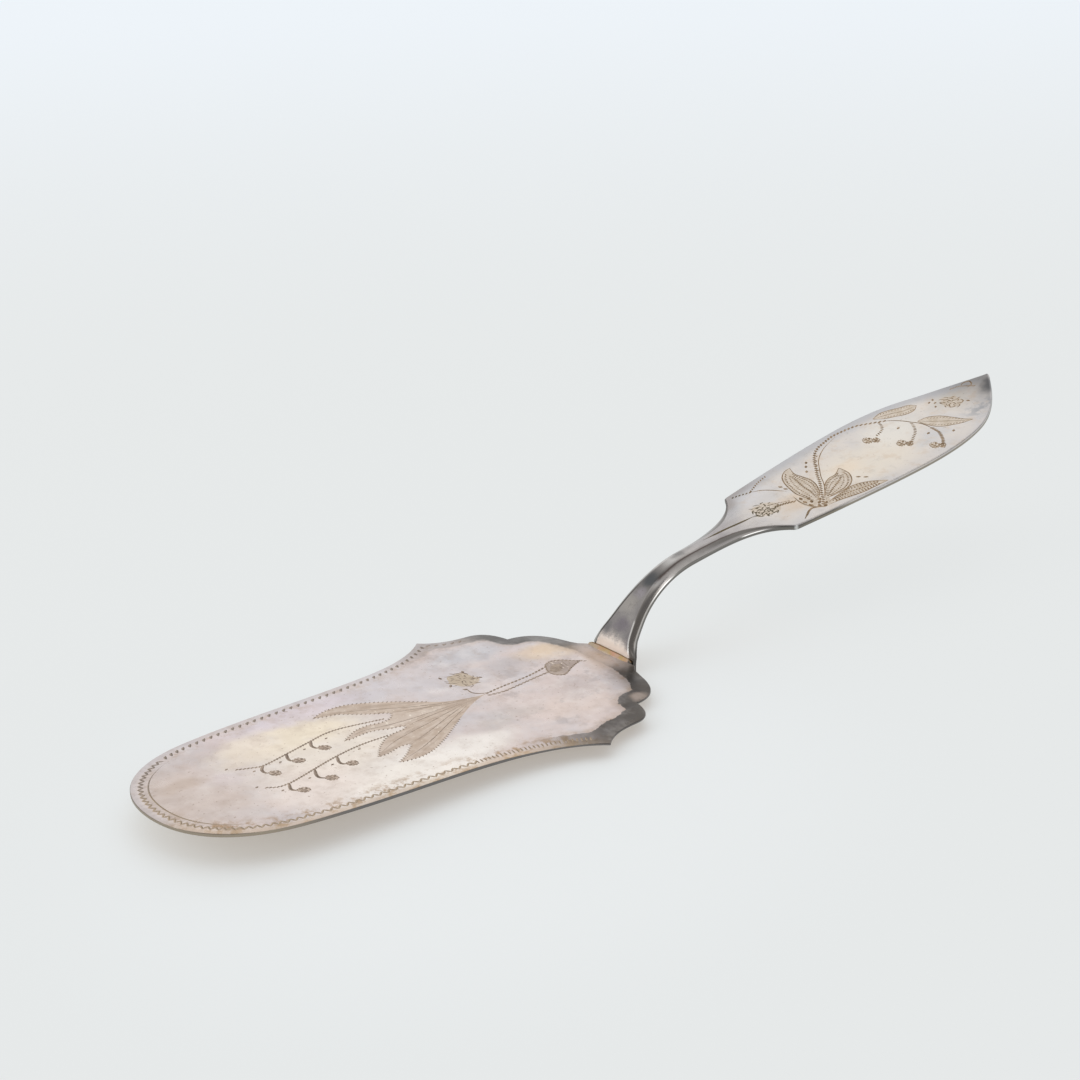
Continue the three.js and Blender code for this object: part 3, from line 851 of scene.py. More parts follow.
def blade_bud(e):
    """A bud on a double stem."""
    bud = [(-4.3, 4.3), (-3.6, 5.2), (-1.4, 5.8), (0.8, 4.8), (2.4, 3.1), (3.4, 1.7), (0.3, 0.4),
           (-2.4, -1.2), (-4.0, -1.7), (-5.4, -0.6), (-5.7, 1.6)]
    e.beads(bud[:5] + [(4.6, 1.0)], spacing=0.85, width=0.56, lean=0.3, length=0.8)
    e.beads([(3.6, 1.8)] + bud[6:] + bud[:1], spacing=0.8, width=0.6, lean=0.3, length=0.8)
    e.fill(bud)
    e.fill([(-4.5, 2.6), (-2.9, 3.8), (-1.0, 3.6), (-1.6, 1.6), (-3.7, 0.2), (-5.0, 0.8)], step=0.6, kind=CUT)
    e.hatch([(-3.2, 4.4), (-0.2, 4.4), (1.4, 3.2)], [(-3.0, -0.4), (-0.8, 0.8), (0.8, 1.6)], count=5,
            width=0.2)
    for line, lean in (([(-4.6, 4.1), (-10.8, 2.8), (-16.7, 2.3), (-20.0, 2.0), (-23.4, 1.5)], 0.45),
                       ([(-4.9, 1.7), (-11.6, 0.9), (-17.5, 0.1), (-20.6, -0.1), (-23.6, 0.4)], -0.45)):
        e.cut(line, width=0.16, ends=0.6)
        e.beads(line, spacing=1.1, width=0.6, lean=lean, length=0.95)


def blade_flower(e):
    """A small flower on a curl."""
    flower(e, -23.4, 10.6, wide=3.9, tall=4.3, seed=3)
    for x, y in ((-20.7, 13.9), (-26.8, 14.3), (-19.5, 9.2), (-26.0, 6.1), (-27.4, 9.6)):
        e.dot(x, y, radius=0.5, lean=x)
    e.cut([(-25.6, 6.2), (-25.9, 3.9), (-24.7, 2.3), (-22.8, 1.5)], width=0.42, ends=0.5)


def blade_engraving(outline):
    e = Engraving()
    for part in (blade_fan, blade_sprays, blade_bud, blade_flower):
        part(e)
    blade_border(e, outline)
    return e


def open_at_gap(line):
    """A closed line that lacks a part, put in order from one end of the gap to the other."""
    start = np.argmax(np.linalg.norm(np.diff(closed_line(line), axis=0), axis=1)) + 1
    return np.roll(line, -start, axis=0)


def blade_border(e, outline):
    """Wriggled cuts round the tip and near side, commas on the far side, teeth at the near side's rear."""
    line = inset(outline, BORDER_INSET)
    end = TAB_X - np.where(line[:, 1] > 0, FAR_BORDER_END, NEAR_BORDER_END)
    line = evenly(open_at_gap(line[line[:, 0] < end]), BORDER_STEP)
    side = normals(line)
    along = np.stack([side[:, 1], -side[:, 0]], 1)
    for i in range(len(line) - 1):
        p, q = line[i], line[i + 1]
        swing = side[i] * BORDER_SWING
        if p[1] > 0 and p[0] > TIP_BORDER_END:
            if i % 2:
                foot, middle, head = (p + along[i] * shift for shift in COMMA_BOW)
                e.cut([foot - swing, middle, head + swing], width=0.7, ends=0.45, step=0.4)
        elif p[1] < 0 and p[0] > TEETH_START:
            e.cut([p - swing, p + swing], width=0.44, ends=0.7)
        else:
            sign = 1 if i % 2 else -1
            e.cut([p + swing * sign, q - side[i + 1] * BORDER_SWING * sign], width=0.56, ends=0.5)
    tip_line = inset(outline, TIP_LINE_INSET)
    tip_line = tip_line[tip_line[:, 0] < TAB_X - BLADE_LENGTH + TIP_LINE_REACH]
    e.cut(evenly(open_at_gap(tip_line), 1.0), width=0.36, ends=0.1)


def bell(e, x, y, wide, tall, seed):
    """A hanging bell: a rough oval ringed with short cuts, with dots inside it."""
    def inside(u, v):
        return (x, y) + u * wide * BELL_ALONG + v * tall * BELL_ACROSS

    count = 11
    angles = np.arange(count) * 2 * math.pi / count
    far = np.random.default_rng(seed).uniform(0.86, 1.1, count)
    lobe = [inside(r * math.cos(a), r * math.sin(a)) for a, r in zip(angles, far)]
    e.fill(lobe)
    e.beads(lobe + lobe[:1], spacing=0.75, width=0.34, lean=0.3, length=0.6)
    for u, v in ((0.4, 0.5), (-0.4, 0.3), (0.0, -0.1), (0.4, -0.5), (-0.3, -0.6)):
        e.dot(*inside(u, v), radius=0.42, lean=u + v)


def flower(e, x, y, wide, tall, seed):
    """A ragged flower head, with short curved cuts that spread from its heart."""
    def petal(r, a):
        return x + wide * r * math.cos(a), y + tall * r * math.sin(a)

    pick = np.random.default_rng(seed)
    lobes = 16
    angles = np.arange(lobes) * 2 * math.pi / lobes
    e.fill([petal(r, a) for a, r in zip(angles, pick.uniform(0.74, 1.0, lobes))], step=0.5)
    for share, count in ((0.88, 12), (0.6, 9), (0.28, 5)):
        for a in (np.arange(count) + pick.uniform(-0.35, 0.35, count)) * 2 * math.pi / count:
            middle = share * pick.uniform(0.86, 1.04)
            bend, reach = pick.uniform(-0.5, 0.5), pick.uniform(0.09, 0.19)
            bow = ((middle - reach, a - 0.4 * bend), (middle, a), (middle + reach, a + bend))
            e.cut([petal(*spot) for spot in bow], width=pick.uniform(0.22, 0.4), ends=0.4, step=0.3)


def outward(outline):
    """Unit vectors out of a closed outline at each of its points."""
    before = outline - np.roll(outline, 1, axis=0)
    after = np.roll(outline, -1, axis=0) - outline
    before /= np.linalg.norm(before, axis=1)[:, None]
    after /= np.linalg.norm(after, axis=1)[:, None]
    side = before + after
    side /= np.linalg.norm(side, axis=1)[:, None]
    return np.stack([side[:, 1], -side[:, 0]], 1)


def index_rows(start, size, count):
    """Point indices of rows or rings that follow one another."""
    return [list(range(i, i + size)) for i in range(start, start + size * count, size)]


def bridge(first, second):
    """Faces between two closed rings of point indices."""
    count = len(first)
    return [(first[i], second[i], second[(i + 1) % count], first[(i + 1) % count]) for i in range(count)]


def rim_drop(x, y, edge):
    """How far the rim slopes down, which it does not do on the tab in front of the handle."""
    tab = smoothstep(np.abs(y), *FLAT_TAB_SIDES) * smoothstep(x, *FLAT_TAB_FRONT)
    deep = lerp(RIM_DROP_FRONT, RIM_DROP_REAR, smoothstep(x, *RIM_DEEPENS)) * (1 - tab)
    return deep * np.clip(1 - np.asarray(edge) / RIM_WIDTH, 0, 1)


def make_blade():
    outline = blade_outline()
    top_edge = outline - outward(outline) * SOFT_EDGE
    rails = [closed_line(inset(outline, d)) for d in (RIM_WIDTH, RIM_BLEND, INNER_RAIL)]
    flat, depth, triangles, kinds, border = engrave(top_edge, blade_engraving(outline), rails)
    edge, _ = nearest(flat, closed_line(outline))
    sides = len(outline)
    top = np.column_stack([flat, topside(flat[:, 0]) - rim_drop(*flat.T, edge) - depth])
    x = outline[:, 0]
    upper = np.column_stack([outline, topside(x) - rim_drop(*outline.T, 0) - SOFT_EDGE])
    lower = np.column_stack([outline, underside(x) + SOFT_EDGE])
    bottom = np.column_stack([top_edge, underside(top_edge[:, 0])])
    rings = index_rows(len(flat), sides, 3)
    walls = bridge(border, rings[0]) + bridge(rings[0], rings[1]) + bridge(rings[1], rings[2])
    plain, _, under, _, _ = engrave(top_edge, Engraving(), [])
    under = [[rings[2][i] for i in reversed(f)] for f in remap(under, plain, top_edge)]
    faces = list(triangles) + walls + under
    slots = list(kinds) + [BASE] * (len(walls) + len(under))
    past_rim = RIM_BLEND + 0.2
    smooth = [bool(edge[f].max() < past_rim) for f in triangles] + [True] * len(walls) + [False] * len(under)
    points = np.vstack([top, upper, lower, bottom])
    edges = np.r_[edge, np.full(3 * sides, BLADE_WALL)]
    piece = build("blade_dressed", points, faces, slots, [blade_silver(), BLADE_LEAVES, BLADE_CUTS],
                  {"edge": edges}, smooth)
    crease(piece, BLADE_SHARP)
    return piece


def remap(faces, points, wanted):
    """The same faces with each point's index in another list of the same points."""
    where = np.linalg.norm(points[:, None] - wanted[None], axis=2).argmin(1)
    return [[int(where[i]) for i in f] for f in faces]


def crease(piece, degrees):
    """Makes edges steeper than an angle sharp, and keeps which faces are smooth."""
    faces = piece.data.polygons
    smooth = np.empty(len(faces), bool)
    faces.foreach_get("use_smooth", smooth)
    piece.data.set_sharp_from_angle(angle=math.radians(degrees))
    faces.foreach_set("use_smooth", smooth)


# Handle


def handle_legs():
    """Runs and arcs along the front of the handle: start length, place, heading, radius and side of each."""
    legs = [(FOOT_HEIGHT, 0, 0), (0, KNEE_RADIUS + FOOT_THICKNESS, STEM_LEAN), (STEM_RUN, 0, 0),
            (0, BEND_RADIUS + STEM_THICKNESS, GRIP_LEAN), (GRIP_RUN, 0, 0), (0, END_RADIUS, END_LEAN)]
    made, s, x, z, heading = [], 0.0, SEAM_X, 0.0, math.pi / 2
    for run, radius, lean in legs:
        turn = math.radians(lean) - heading if radius else 0
        side = math.copysign(1, turn)
        made.append((s, x, z, heading, radius, side))
        if radius:
            after = heading + turn
            s += radius * abs(turn)
            x += side * radius * (math.sin(after) - math.sin(heading))
            z += side * radius * (math.cos(heading) - math.cos(after))
            heading = after
        else:
            s, x, z = s + run, x + run * math.cos(heading), z + run * math.sin(heading)
    return made, s


HANDLE_LEGS, HANDLE_LENGTH = handle_legs()


def on_handle(s, y, depth):
    """The place of points given by their length along the handle, across it, and below its front face."""
    s, y, depth = (np.asarray(v, float) for v in (s, y, depth))
    x, z, heading = np.zeros_like(s), np.zeros_like(s), np.zeros_like(s)
    starts = np.array([leg[0] for leg in HANDLE_LEGS])
    which = np.clip(np.searchsorted(starts, s, side="right") - 1, 0, len(starts) - 1)
    for i, (start, x0, z0, head, radius, side) in enumerate(HANDLE_LEGS):
        m = which == i
        step = s[m] - start
        turned = head + side * step / radius if radius else np.full(step.shape, head)
        if radius:
            x[m] = x0 + side * radius * (np.sin(turned) - math.sin(head))
            z[m] = z0 + side * radius * (math.cos(head) - np.cos(turned))
        else:
            x[m], z[m] = x0 + step * math.cos(head), z0 + step * math.sin(head)
        heading[m] = turned
    return np.stack([x + depth * np.sin(heading), y, z - depth * np.cos(heading)], -1)


def handle_half():
    """Length along the handle and half its width."""
    shoulder, rounded = WAIST_REACH + SHOULDER_REACH, (SHOULDER_WIDTH + SHOULDER_ROUND) / 2
    half = [(s, TONGUE_WIDTH / 2) for s in np.linspace(0, FOOT_HEIGHT, 9)]
    sweep(half, WAIST_REACH, WAIST_WIDTH / 2, FOOT_EDGE, 0, SHORT_PULL, LONG_PULL, 60)
    sweep(half, shoulder, SHOULDER_WIDTH / 2, 0, SHOULDER_EDGE, LONG_PULL, SHORT_PULL, 40)
    sweep(half, shoulder + SHOULDER_ROUND, rounded, SHOULDER_EDGE, GRIP_EDGE, steps=6)
    sweep(half, HANDLE_LENGTH - GRIP_END, GRIP_WIDTH / 2, GRIP_EDGE, 0, SHORT_PULL, SHORT_PULL, 30)
    sweep(half, HANDLE_LENGTH, POINT_WIDTH / 2, 0, POINT_EDGE, LONG_PULL, SHORT_PULL, 48)
    return np.array(half)


def handle_section(s, half):
    """Bevel width, bevel depth and thickness at lengths along the handle."""
    shoulder = WAIST_REACH + SHOULDER_REACH
    to_grip = smoothstep(s, WAIST_REACH, shoulder)
    to_stem = smoothstep(s, TONGUE_THICKNESS, STEM_REACH)
    widen = smoothstep(s, FOOT_HEIGHT, BEVEL_REACH)
    thick = lerp(lerp(FOOT_THICKNESS, STEM_THICKNESS, to_stem), GRIP_THICKNESS, to_grip)
    edge = lerp(STEM_EDGE, GRIP_THICKNESS - GRIP_BEVEL, to_grip)
    late = smoothstep(s, WAIST_REACH + BEVEL_FADE * SHOULDER_REACH, shoulder + BEVEL_FADE_END)
    bevel = np.minimum(lerp(lerp(FOOT_BEVEL, STEM_BEVEL, widen), GRIP_BEVEL, late), half / 2)
    return bevel, thick - edge, thick


def grip_vine(e):
    """A vine with bells, from the leaves round the far side and over to the end."""
    vine = [(70.5, -9.8), (72.6, -7.6), (74.9, -4.9), (77.3, -2.3), (79.0, -0.2), (80.7, 2.0), (82.9, 4.5),
            (85.0, 7.0), (87.6, 9.6), (89.8, 11.3), (92.1, 12.4), (94.2, 12.9), (97.9, 13.7), (101.1, 13.6),
            (103.5, 13.3), (105.9, 12.8), (108.2, 11.4), (110.1, 10.1), (112.1, 8.7)]
    e.beads(vine, spacing=1.2, width=0.58, lean=0.75, length=1.15)
    e.cut(vine, width=0.16, ends=0.5)
    e.cut([(72.4, -8.9), (77.9, -2.9), (80.6, 0.7), (83.0, 3.4), (85.5, 6.2), (87.2, 7.7), (89.8, 9.5),
           (92.7, 11.0), (95.5, 12.0), (98.4, 12.8)], width=0.26, ends=0.3)
    for s, y in ((82.6, 3.6), (84.3, 5.6), (86.0, 7.4), (88.0, 9.2)):
        e.dot(s, y, radius=0.3, lean=0.8)
    e.cut([(112.1, 8.7), (113.6, 7.0), (114.8, 4.6), (115.4, 2.5), (116.1, 0.4), (116.1, -1.7),
           (115.7, -4.1)], width=0.4, ends=0.6)
    bells = (
        ([(110.5, 9.0), (109.2, 6.8), (107.3, 5.4), (105.0, 4.7)], (101.6, 4.7), (102.9, 3.1), 0.45),
        ([(115.3, 2.7), (113.6, 0.0), (111.5, -2.2), (109.1, -3.7), (107.4, -4.8)],
         (105.1, -3.4), (106.1, -5.2), 0.45),
        ([(115.7, -4.1), (115.1, -6.6), (113.8, -8.7), (111.9, -11.0), (110.6, -12.0)],
         (108.8, -10.9), (109.9, -12.5), 0.72),
    )
    for seed, (hook, first, second, width) in enumerate(bells):
        e.beads(hook, spacing=0.9, width=width, lean=0.9, length=1.0)
        bell(e, *first, wide=1.15, tall=1.7, seed=seed)
        bell(e, *second, wide=0.85, tall=1.35, seed=seed + 10)


def grip_leaves(e):
    """Two long leaves by the end of the vine, and a cluster of three at its foot."""
    long_leaf(e, [(111.3, 11.9), (114.7, 12.7), (117.6, 11.9), (120.0, 10.7), (122.5, 9.8), (123.4, 8.0)],
              [(111.3, 11.6), (113.5, 9.4), (115.8, 8.1), (118.0, 6.8), (120.9, 6.6), (123.4, 8.0)])
    long_leaf(e, [(116.6, 1.6), (119.7, 1.1), (122.0, -1.0), (123.1, -3.8), (123.9, -6.6), (125.2, -9.2)],
              [(116.6, 1.6), (116.6, -2.6), (117.7, -5.3), (120.2, -7.2), (122.4, -8.4), (125.2, -9.2)])
    ribbed_leaf(e, [(79.4, 10.2), (77.5, 10.0), (75.0, 8.4), (73.1, 5.9), (71.6, 2.6), (70.5, -0.8),
                    (70.4, -3.6), (70.6, -6.6)],
                [(79.4, 10.2), (77.9, 7.0), (77.9, 4.3), (77.9, 1.9), (77.1, -0.7), (75.6, -3.2),
                 (73.6, -5.6), (71.0, -7.2)],
                [(76.4, 6.4), (75.2, 3.0), (74.2, 0.4), (73.4, -2.8), (72.0, -6.0)])
    ribbed_leaf(e, [(86.4, 0.2), (83.4, -1.5), (81.3, -1.6), (79.3, -2.3), (77.2, -3.8), (75.2, -5.8),
                    (73.0, -7.6)],
                [(86.4, 0.2), (86.1, -2.6), (85.3, -4.6), (83.4, -6.9), (80.5, -8.6), (77.5, -8.9),
                 (74.8, -8.7), (73.0, -8.4)],
                [(83.6, -3.2), (81.8, -4.4), (79.4, -5.4), (77.0, -6.4), (74.2, -7.8)])
    ribbed_leaf(e, [(88.4, -14.2), (86.0, -11.4), (83.6, -9.8), (81.1, -9.0), (78.2, -9.3), (74.8, -9.6),
                    (72.2, -10.2)],
                [(88.4, -14.2), (84.0, -13.8), (80.7, -13.5), (77.6, -12.7), (74.5, -11.8), (71.6, -11.2)],
                [(86.0, -12.8), (82.2, -11.8), (79.0, -10.9), (76.0, -10.4), (73.2, -10.4)])
    e.fill([(70.4, -3.4), (73.0, -7.0), (73.4, -9.4), (70.6, -11.6), (67.6, -9.4), (67.4, -5.4),
            (68.6, -2.2)])
    for s, y, lean in ((69.2, -3.6, 1.2), (68.6, -5.6, 1.4), (69.8, -6.6, 0.9), (68.4, -7.8, 1.6),
                       (70.6, -8.4, 0.6), (69.4, -9.6, 1.1), (71.4, -9.8, 0.4), (70.4, -5.0, 1.3),
                       (71.8, -7.4, 0.8), (70.2, -10.8, 0.3)):
        e.dot(s, y, radius=0.62, lean=lean)
    e.cut([(70.1, -11.0), (67.8, -9.2), (66.1, -9.4), (64.4, -10.4), (62.6, -11.4)], width=0.6, ends=0.4)
    e.cut([(69.1, -1.1), (67.9, -4.8), (68.0, -8.4), (69.6, -11.0)], width=0.34, ends=0.3)


def grip_flower(e):
    """A flower, and a line that runs down toward the stem."""
    flower(e, 60.4, -0.2, wide=4.0, tall=3.8, seed=5)
    flower(e, 59.6, -1.2, wide=2.6, tall=2.4, seed=6)
    e.beads([(62.8, -1.4), (65.2, -2.0), (67.4, -3.2)], spacing=0.7, width=0.5, lean=0.8, length=1.3)
    e.beads([(62.4, 0.6), (64.4, -0.4), (66.8, -1.8)], spacing=0.8, width=0.34, lean=0.2, length=0.8)
    e.cut([(57.0, -0.6), (52.0, -0.1), (48.0, 0.4), (41.0, 0.9)], width=0.7, ends=0.15)


def grip_border(e):
    """Border lines by the far shoulder, and stray dashes."""
    e.beads([(60.2, 10.6), (61.6, 10.2), (64.6, 9.1)], spacing=0.9, width=0.5, lean=0.7, length=0.9)
    e.cut([(64.6, 9.2), (67.0, 7.6), (68.6, 5.3), (70.2, 2.0)], width=0.34, ends=0.3)
    e.beads([(65.2, 9.4), (69.4, 11.2), (72.6, 12.0)], spacing=1.0, width=0.44, lean=0.7, length=0.9)
    for s, y, lean in ((83.9, 8.9, 0.8), (82.3, 7.4, 0.8), (80.5, 5.4, 0.8), (85.6, -7.0, 2.2),
                       (86.6, -8.6, 2.2), (111.0, 3.0, 0.4), (113.0, -5.2, 0.4), (117.6, -9.4, 0.6),
                       (70.9, 5.0, 1.9), (70.9, 3.2, 1.9)):
        e.dot(s, y, radius=0.5, lean=lean)


def grip_scroll(e):
    """A flower head and a scroll near the end."""
    flower(e, 129.4, 1.4, wide=2.9, tall=3.5, seed=8)
    for spot, lean in (((126.3, 6.3), 0.4), ((127.9, 6.5), 0.9), ((127.0, 4.9), 0.2), ((125.5, 3.4), 0.7),
                       ((131.8, -2.0), 2.0)):
        e.dot(*spot, radius=0.42, lean=lean)
    e.beads([(134.0, 5.6), (135.6, 4.4), (136.8, 2.2), (137.4, 0.6)], spacing=0.7, width=0.34, lean=0.5,
            length=0.8)
    e.cut([(136.2, 4.0), (137.6, 4.2), (138.4, 3.0), (137.6, 1.6), (136.2, 2.0)], width=0.36, ends=0.4)


def handle_engraving(top_half):
    e = Engraving(top_half)
    for part in (grip_vine, grip_leaves, grip_flower, grip_border, grip_scroll):
        part(e)
    return e


def long_leaf(e, upper, lower):
    """A leaf between two lines, with a middle line and a row of short cuts on each side of it."""
    e.fill(list(upper) + list(reversed(lower[1:-1])))
    for line in (upper, lower):
        e.cut(line, width=0.32, ends=0.4)
    middle = [lerp(np.array(a), np.array(b), 0.5) for a, b in zip(upper, lower)]
    e.cut(middle, width=0.24)
    for line in (upper, lower):
        inner = [lerp(np.array(a), b, 0.3) for a, b in zip(line, middle)]
        e.beads(inner[1:-1], spacing=0.8, width=0.26, lean=1.0, length=0.7)


def ribbed_leaf(e, upper, lower, rib):
    """A leaf between two lines, with a beaded rib and two rows of dots on each side of it."""
    e.fill(list(upper) + list(reversed(lower[1:])))
    for line in (upper, lower):
        e.cut(line, width=0.34, ends=0.5)
    e.beads(rib, spacing=0.8, width=0.4, lean=0.9, length=0.9)
    e.cut(rib, width=0.22, ends=0.4)
    rib = through(rib)
    for edge in (through(upper), through(lower)):
        for share, radius in LEAF_DOTS:
            row = []
            for t in np.linspace(LEAF_DOTS_FROM, LEAF_DOTS_TO, 14):
                a, b = (line[int(t * (len(line) - 1))] for line in (edge, rib))
                row.append(lerp(a, b, share))
            for p in evenly(np.array(row), LEAF_DOTS_STEP):
                e.dot(*p, radius=radius, lean=share * 9 + p[1])


def handle_profile(half):
    """Half the top's width, and rows of points down the side: half width, depth, edge mark and slope mark."""
    s, w = half.T
    bevel, drop, thick = handle_section(s, w)
    slope = np.hypot(bevel, drop)
    nick = np.minimum(CREASE, bevel * CREASE_SHARE)
    crease_half = w - bevel
    rows = [(crease_half + nick * bevel / slope, nick * drop / slope, -nick, NICK_MARK)]
    for f in BEVEL_ROWS:
        crown = BEVEL_CROWN * drop * f * (1 - f)
        rows.append((lerp(crease_half, w, f) + crown, drop * f - crown, -bevel * f, f))
    below = np.full(len(s), HANDLE_WALL)
    rows += [(w, drop + WALL_TOP, below, WALL_MARK), (w, thick - SOFT_EDGE, below, BACK_MARK),
             (w - SOFT_EDGE, thick, below, BACK_MARK)]
    return crease_half - nick, rows


def make_handle():
    half = handle_half()
    s = half[:, 0]
    top_half, profile = handle_profile(half)
    limit = np.column_stack([s, top_half])
    outline = np.vstack([limit * (1, -1), limit[::-1]])
    rails = [np.array([(x, -y), (x, y)]) for x, y in limit[1:-1]]
    rails += [(limit * (1, share))[1:-2] for share in GRIP_RAILS]
    flat, depth, triangles, kinds, border = engrave(outline, handle_engraving(limit), rails)
    edge, _ = nearest(flat, closed_line(outline))
    points = [on_handle(*flat.T, depth)]
    edges, slopes = [edge + CREASE], [np.zeros(len(flat))]
    n = len(s)
    rows = index_rows(len(flat), n, 2 * len(profile))
    for sign in (-1, 1):
        for across, down, mark, place in profile:
            points.append(on_handle(s, sign * across, down))
            edges.append(mark)
            slopes.append(np.full(n, place))
    near, far = rows[:len(profile)], rows[len(profile):]
    loop = [border[n:][::-1]] + far + near[::-1] + [border[:n]]
    faces = list(triangles)
    for a, b in zip(loop, loop[1:]):
        faces += [(a[i], a[i + 1], b[i + 1], b[i]) for i in range(n - 1)]
    faces += [[row[0] for row in loop], [row[-1] for row in reversed(loop)]]
    tongue_points, tongue_faces = tongue(len(flat) + n * len(rows))
    points.append(tongue_points)
    edges.append(np.full(len(tongue_points), HANDLE_WALL))
    slopes.append(np.full(len(tongue_points), BACK_MARK))
    faces += tongue_faces
    slots = list(kinds) + [BASE] * (len(faces) - len(kinds))
    flat_from, flat_to = HANDLE_LEGS[GRIP_LEG][0], HANDLE_LEGS[END_LEG][0]
    smooth = [bool(flat[f, 0].min() < flat_from or flat[f, 0].max() > flat_to) for f in triangles]
    smooth += [True] * (len(faces) - len(triangles))
    materials = [handle_silver(), GRIP_LEAVES, GRIP_CUTS]
    marks = {"edge": np.concatenate(edges), "slope": np.concatenate(slopes)}
    piece = build("handle_dressed", np.vstack(points), faces, slots, materials, marks, smooth)
    crease(piece, HANDLE_SHARP)
    soft_rows = range(1, len(BEVEL_ROWS))
    sharpen_rows(piece, rows, [i % len(profile) not in soft_rows for i in range(len(rows))])
    return piece


def sharpen_rows(piece, rows, flags):
    """Makes the edges along some rows of points sharp, and the edges along the other rows smooth."""
    mesh = piece.data
    row_of = np.full(len(mesh.vertices), -1)
    for i, row in enumerate(rows):
        row_of[row] = i
    ends, sharp = np.empty(2 * len(mesh.edges), int), np.empty(len(mesh.edges), bool)
    mesh.edges.foreach_get("vertices", ends)
    mesh.edges.foreach_get("use_edge_sharp", sharp)
    first, last = row_of[ends.reshape(-1, 2)].T
    along = (first == last) & (first >= 0)
    sharp[along] = np.array(flags)[first[along]]
    mesh.edges.foreach_set("use_edge_sharp", sharp)


def tongue(start):
    """Points and faces of the flat tongue under the blade."""
    front, flank = -TONGUE_LENGTH / 2, TONGUE_WIDTH / 2 - TONGUE_CORNER
    arc = [(front + TONGUE_CORNER * (1 - math.cos(a)), flank + TONGUE_CORNER * math.sin(a))
           for a in np.linspace(0, math.pi / 2, 12)]
    left = np.array(arc + [(SEAM_X, TONGUE_WIDTH / 2)])
    outline = np.vstack([left[::-1], left * (1, -1)])
    small = outline - outward(outline) * SOFT_EDGE
    levels = [(small, 0.0), (outline, SOFT_EDGE), (outline, TONGUE_THICKNESS - SOFT_EDGE),
              (small, TONGUE_THICKNESS)]
    points = np.vstack([np.column_stack([line, np.full(len(line), z)]) for line, z in levels])
    n = len(outline)
    rings = index_rows(start, n, len(levels))
    faces = [rings[0][::-1], rings[-1]]
    for a, b in zip(rings, rings[1:]):
        faces += [(a[i], a[(i + 1) % n], b[(i + 1) % n], b[i]) for i in range(n)]
    return points, faces


# Solder


def solder_profile(y):
    """The solder cut across at a place along the seam. Its third and fourth points are the dark line."""
    front, back = -TONGUE_LENGTH / 2 + TONGUE_CORNER, SEAM_X - SOLDER_GAP
    web, low, side = TAB_X + SOLDER_GAP, TONGUE_THICKNESS + SOLDER_GAP, SOLDER_WIDTH / 2
    full = smoothstep(y, -side, -SOLDER_WIDTH / 6) * smoothstep(y, SOLDER_END, SOLDER_WIDTH / 4)
    wave = sum(swing * math.sin(rate * y + shift) for swing, rate, shift in SOLDER_WAVES)
    toe = TAB_X - SOLDER_REACH * (REACH_LEAST + REACH_MORE * full + wave * full)
    rise = lerp(SOLDER_RISE * (RISE_LEAST + RISE_MORE * full), FAR_RISE, smoothstep(y, side, SOLDER_END))
    rise = lerp(NEAR_RISE, rise, smoothstep(y, -side, NEAR_RUN - side))
    start = np.array((back - SEAM_STEP, topside(SEAM_X) + rise - SEAM_LINE))
    end = np.array((toe, topside(toe) + SOLDER_TOE))
    turn = lerp(start, end, 0.5) - SOLDER_SAG
    shares = np.linspace(0, 1, SAG_POINTS)
    hollow = [(1 - t) ** 2 * start + 2 * t * (1 - t) * turn + t * t * end for t in shares]
    return [(front, low), (back, low), (back, start[1] + SEAM_LINE), *hollow,
            (web, topside(web) + SOLDER_TOE), (web, underside(web) - SOLDER_GAP),
            (front, underside(front) - SOLDER_GAP)]


def make_solder():
    points, marks = [], []
    for y in np.linspace(-SOLDER_WIDTH / 2, SOLDER_END, SOLDER_ROWS):
        profile = solder_profile(y)
        points += [(x, y, z) for x, z in profile]
        marks += [1.0 if i in (2, 3) else 0.0 for i in range(len(profile))]
    rows = index_rows(0, len(profile), SOLDER_ROWS)
    faces = [face for a, b in zip(rows, rows[1:]) for face in bridge(a, b)]
    faces += [rows[0], rows[-1][::-1]]
    piece = build("solder_dressed", points, faces, [BASE] * len(faces), [solder_brass()],
                  {"seam": marks}, [True] * len(faces))
    crease(piece, SOLDER_SHARP)
    return piece


# Stage, with places and sizes in metres

FLOOR_HALF = 4.0
PAPER_NEAR, PAPER_FAR = (0.79, 0.812, 0.812, 1), (0.852, 0.9, 0.945, 1)
NEAR_GLOW, FAR_GLOW = 0.42, 0.92
SHADE_TINT = np.array((0.16, 0.0, -0.13))
# How bright the room is at places from left to right, and its other tones
ROOM_LEVELS = ((-1, 0.6), (-0.5, 0.55), (-0.2, 0.5), (-0.1, 0.28), (0.08, 0.28), (0.28, 0.7), (0.4, 0.98),
               (0.55, 1.06), (1, 1.06))
ROOM_DARK, ROOM_PALE = (0.3, 0.3, 0.31, 1), (0.85, 0.85, 0.86, 1)
STRIP_LEVEL, STREAK_LEVEL, WINDOW_LEVEL = 1.8, 2.2, 1.3
STRIP_ASIDE = (0.244, 0.943, -0.224)
# Name, place, size and power of each lamp
LAMPS = (
    ("key", (-0.1, 0.95, 1.2), 2.6, 8.9),
    ("fill", (-1.2, 0.35, 0.5), 1.2, 3.6),
    ("top", (0.1, 0.1, 1.7), 2.6, 5.5),
)
# The photo's camera: focal length and width in pixels, place in millimetres and the directions of its axes
FOCAL_PIXELS, PHOTO_PIXELS, SENSOR_WIDTH = 2300, 1080, 36
CAMERA_PLACE = (-300.51, -362.59, 230.18)
CAMERA_RIGHT, CAMERA_UP = (0.7695, -0.6378, -0.0323), (0.2676, 0.2762, 0.9231)
CAMERA_BACK = (-0.5798, -0.719, 0.3833)


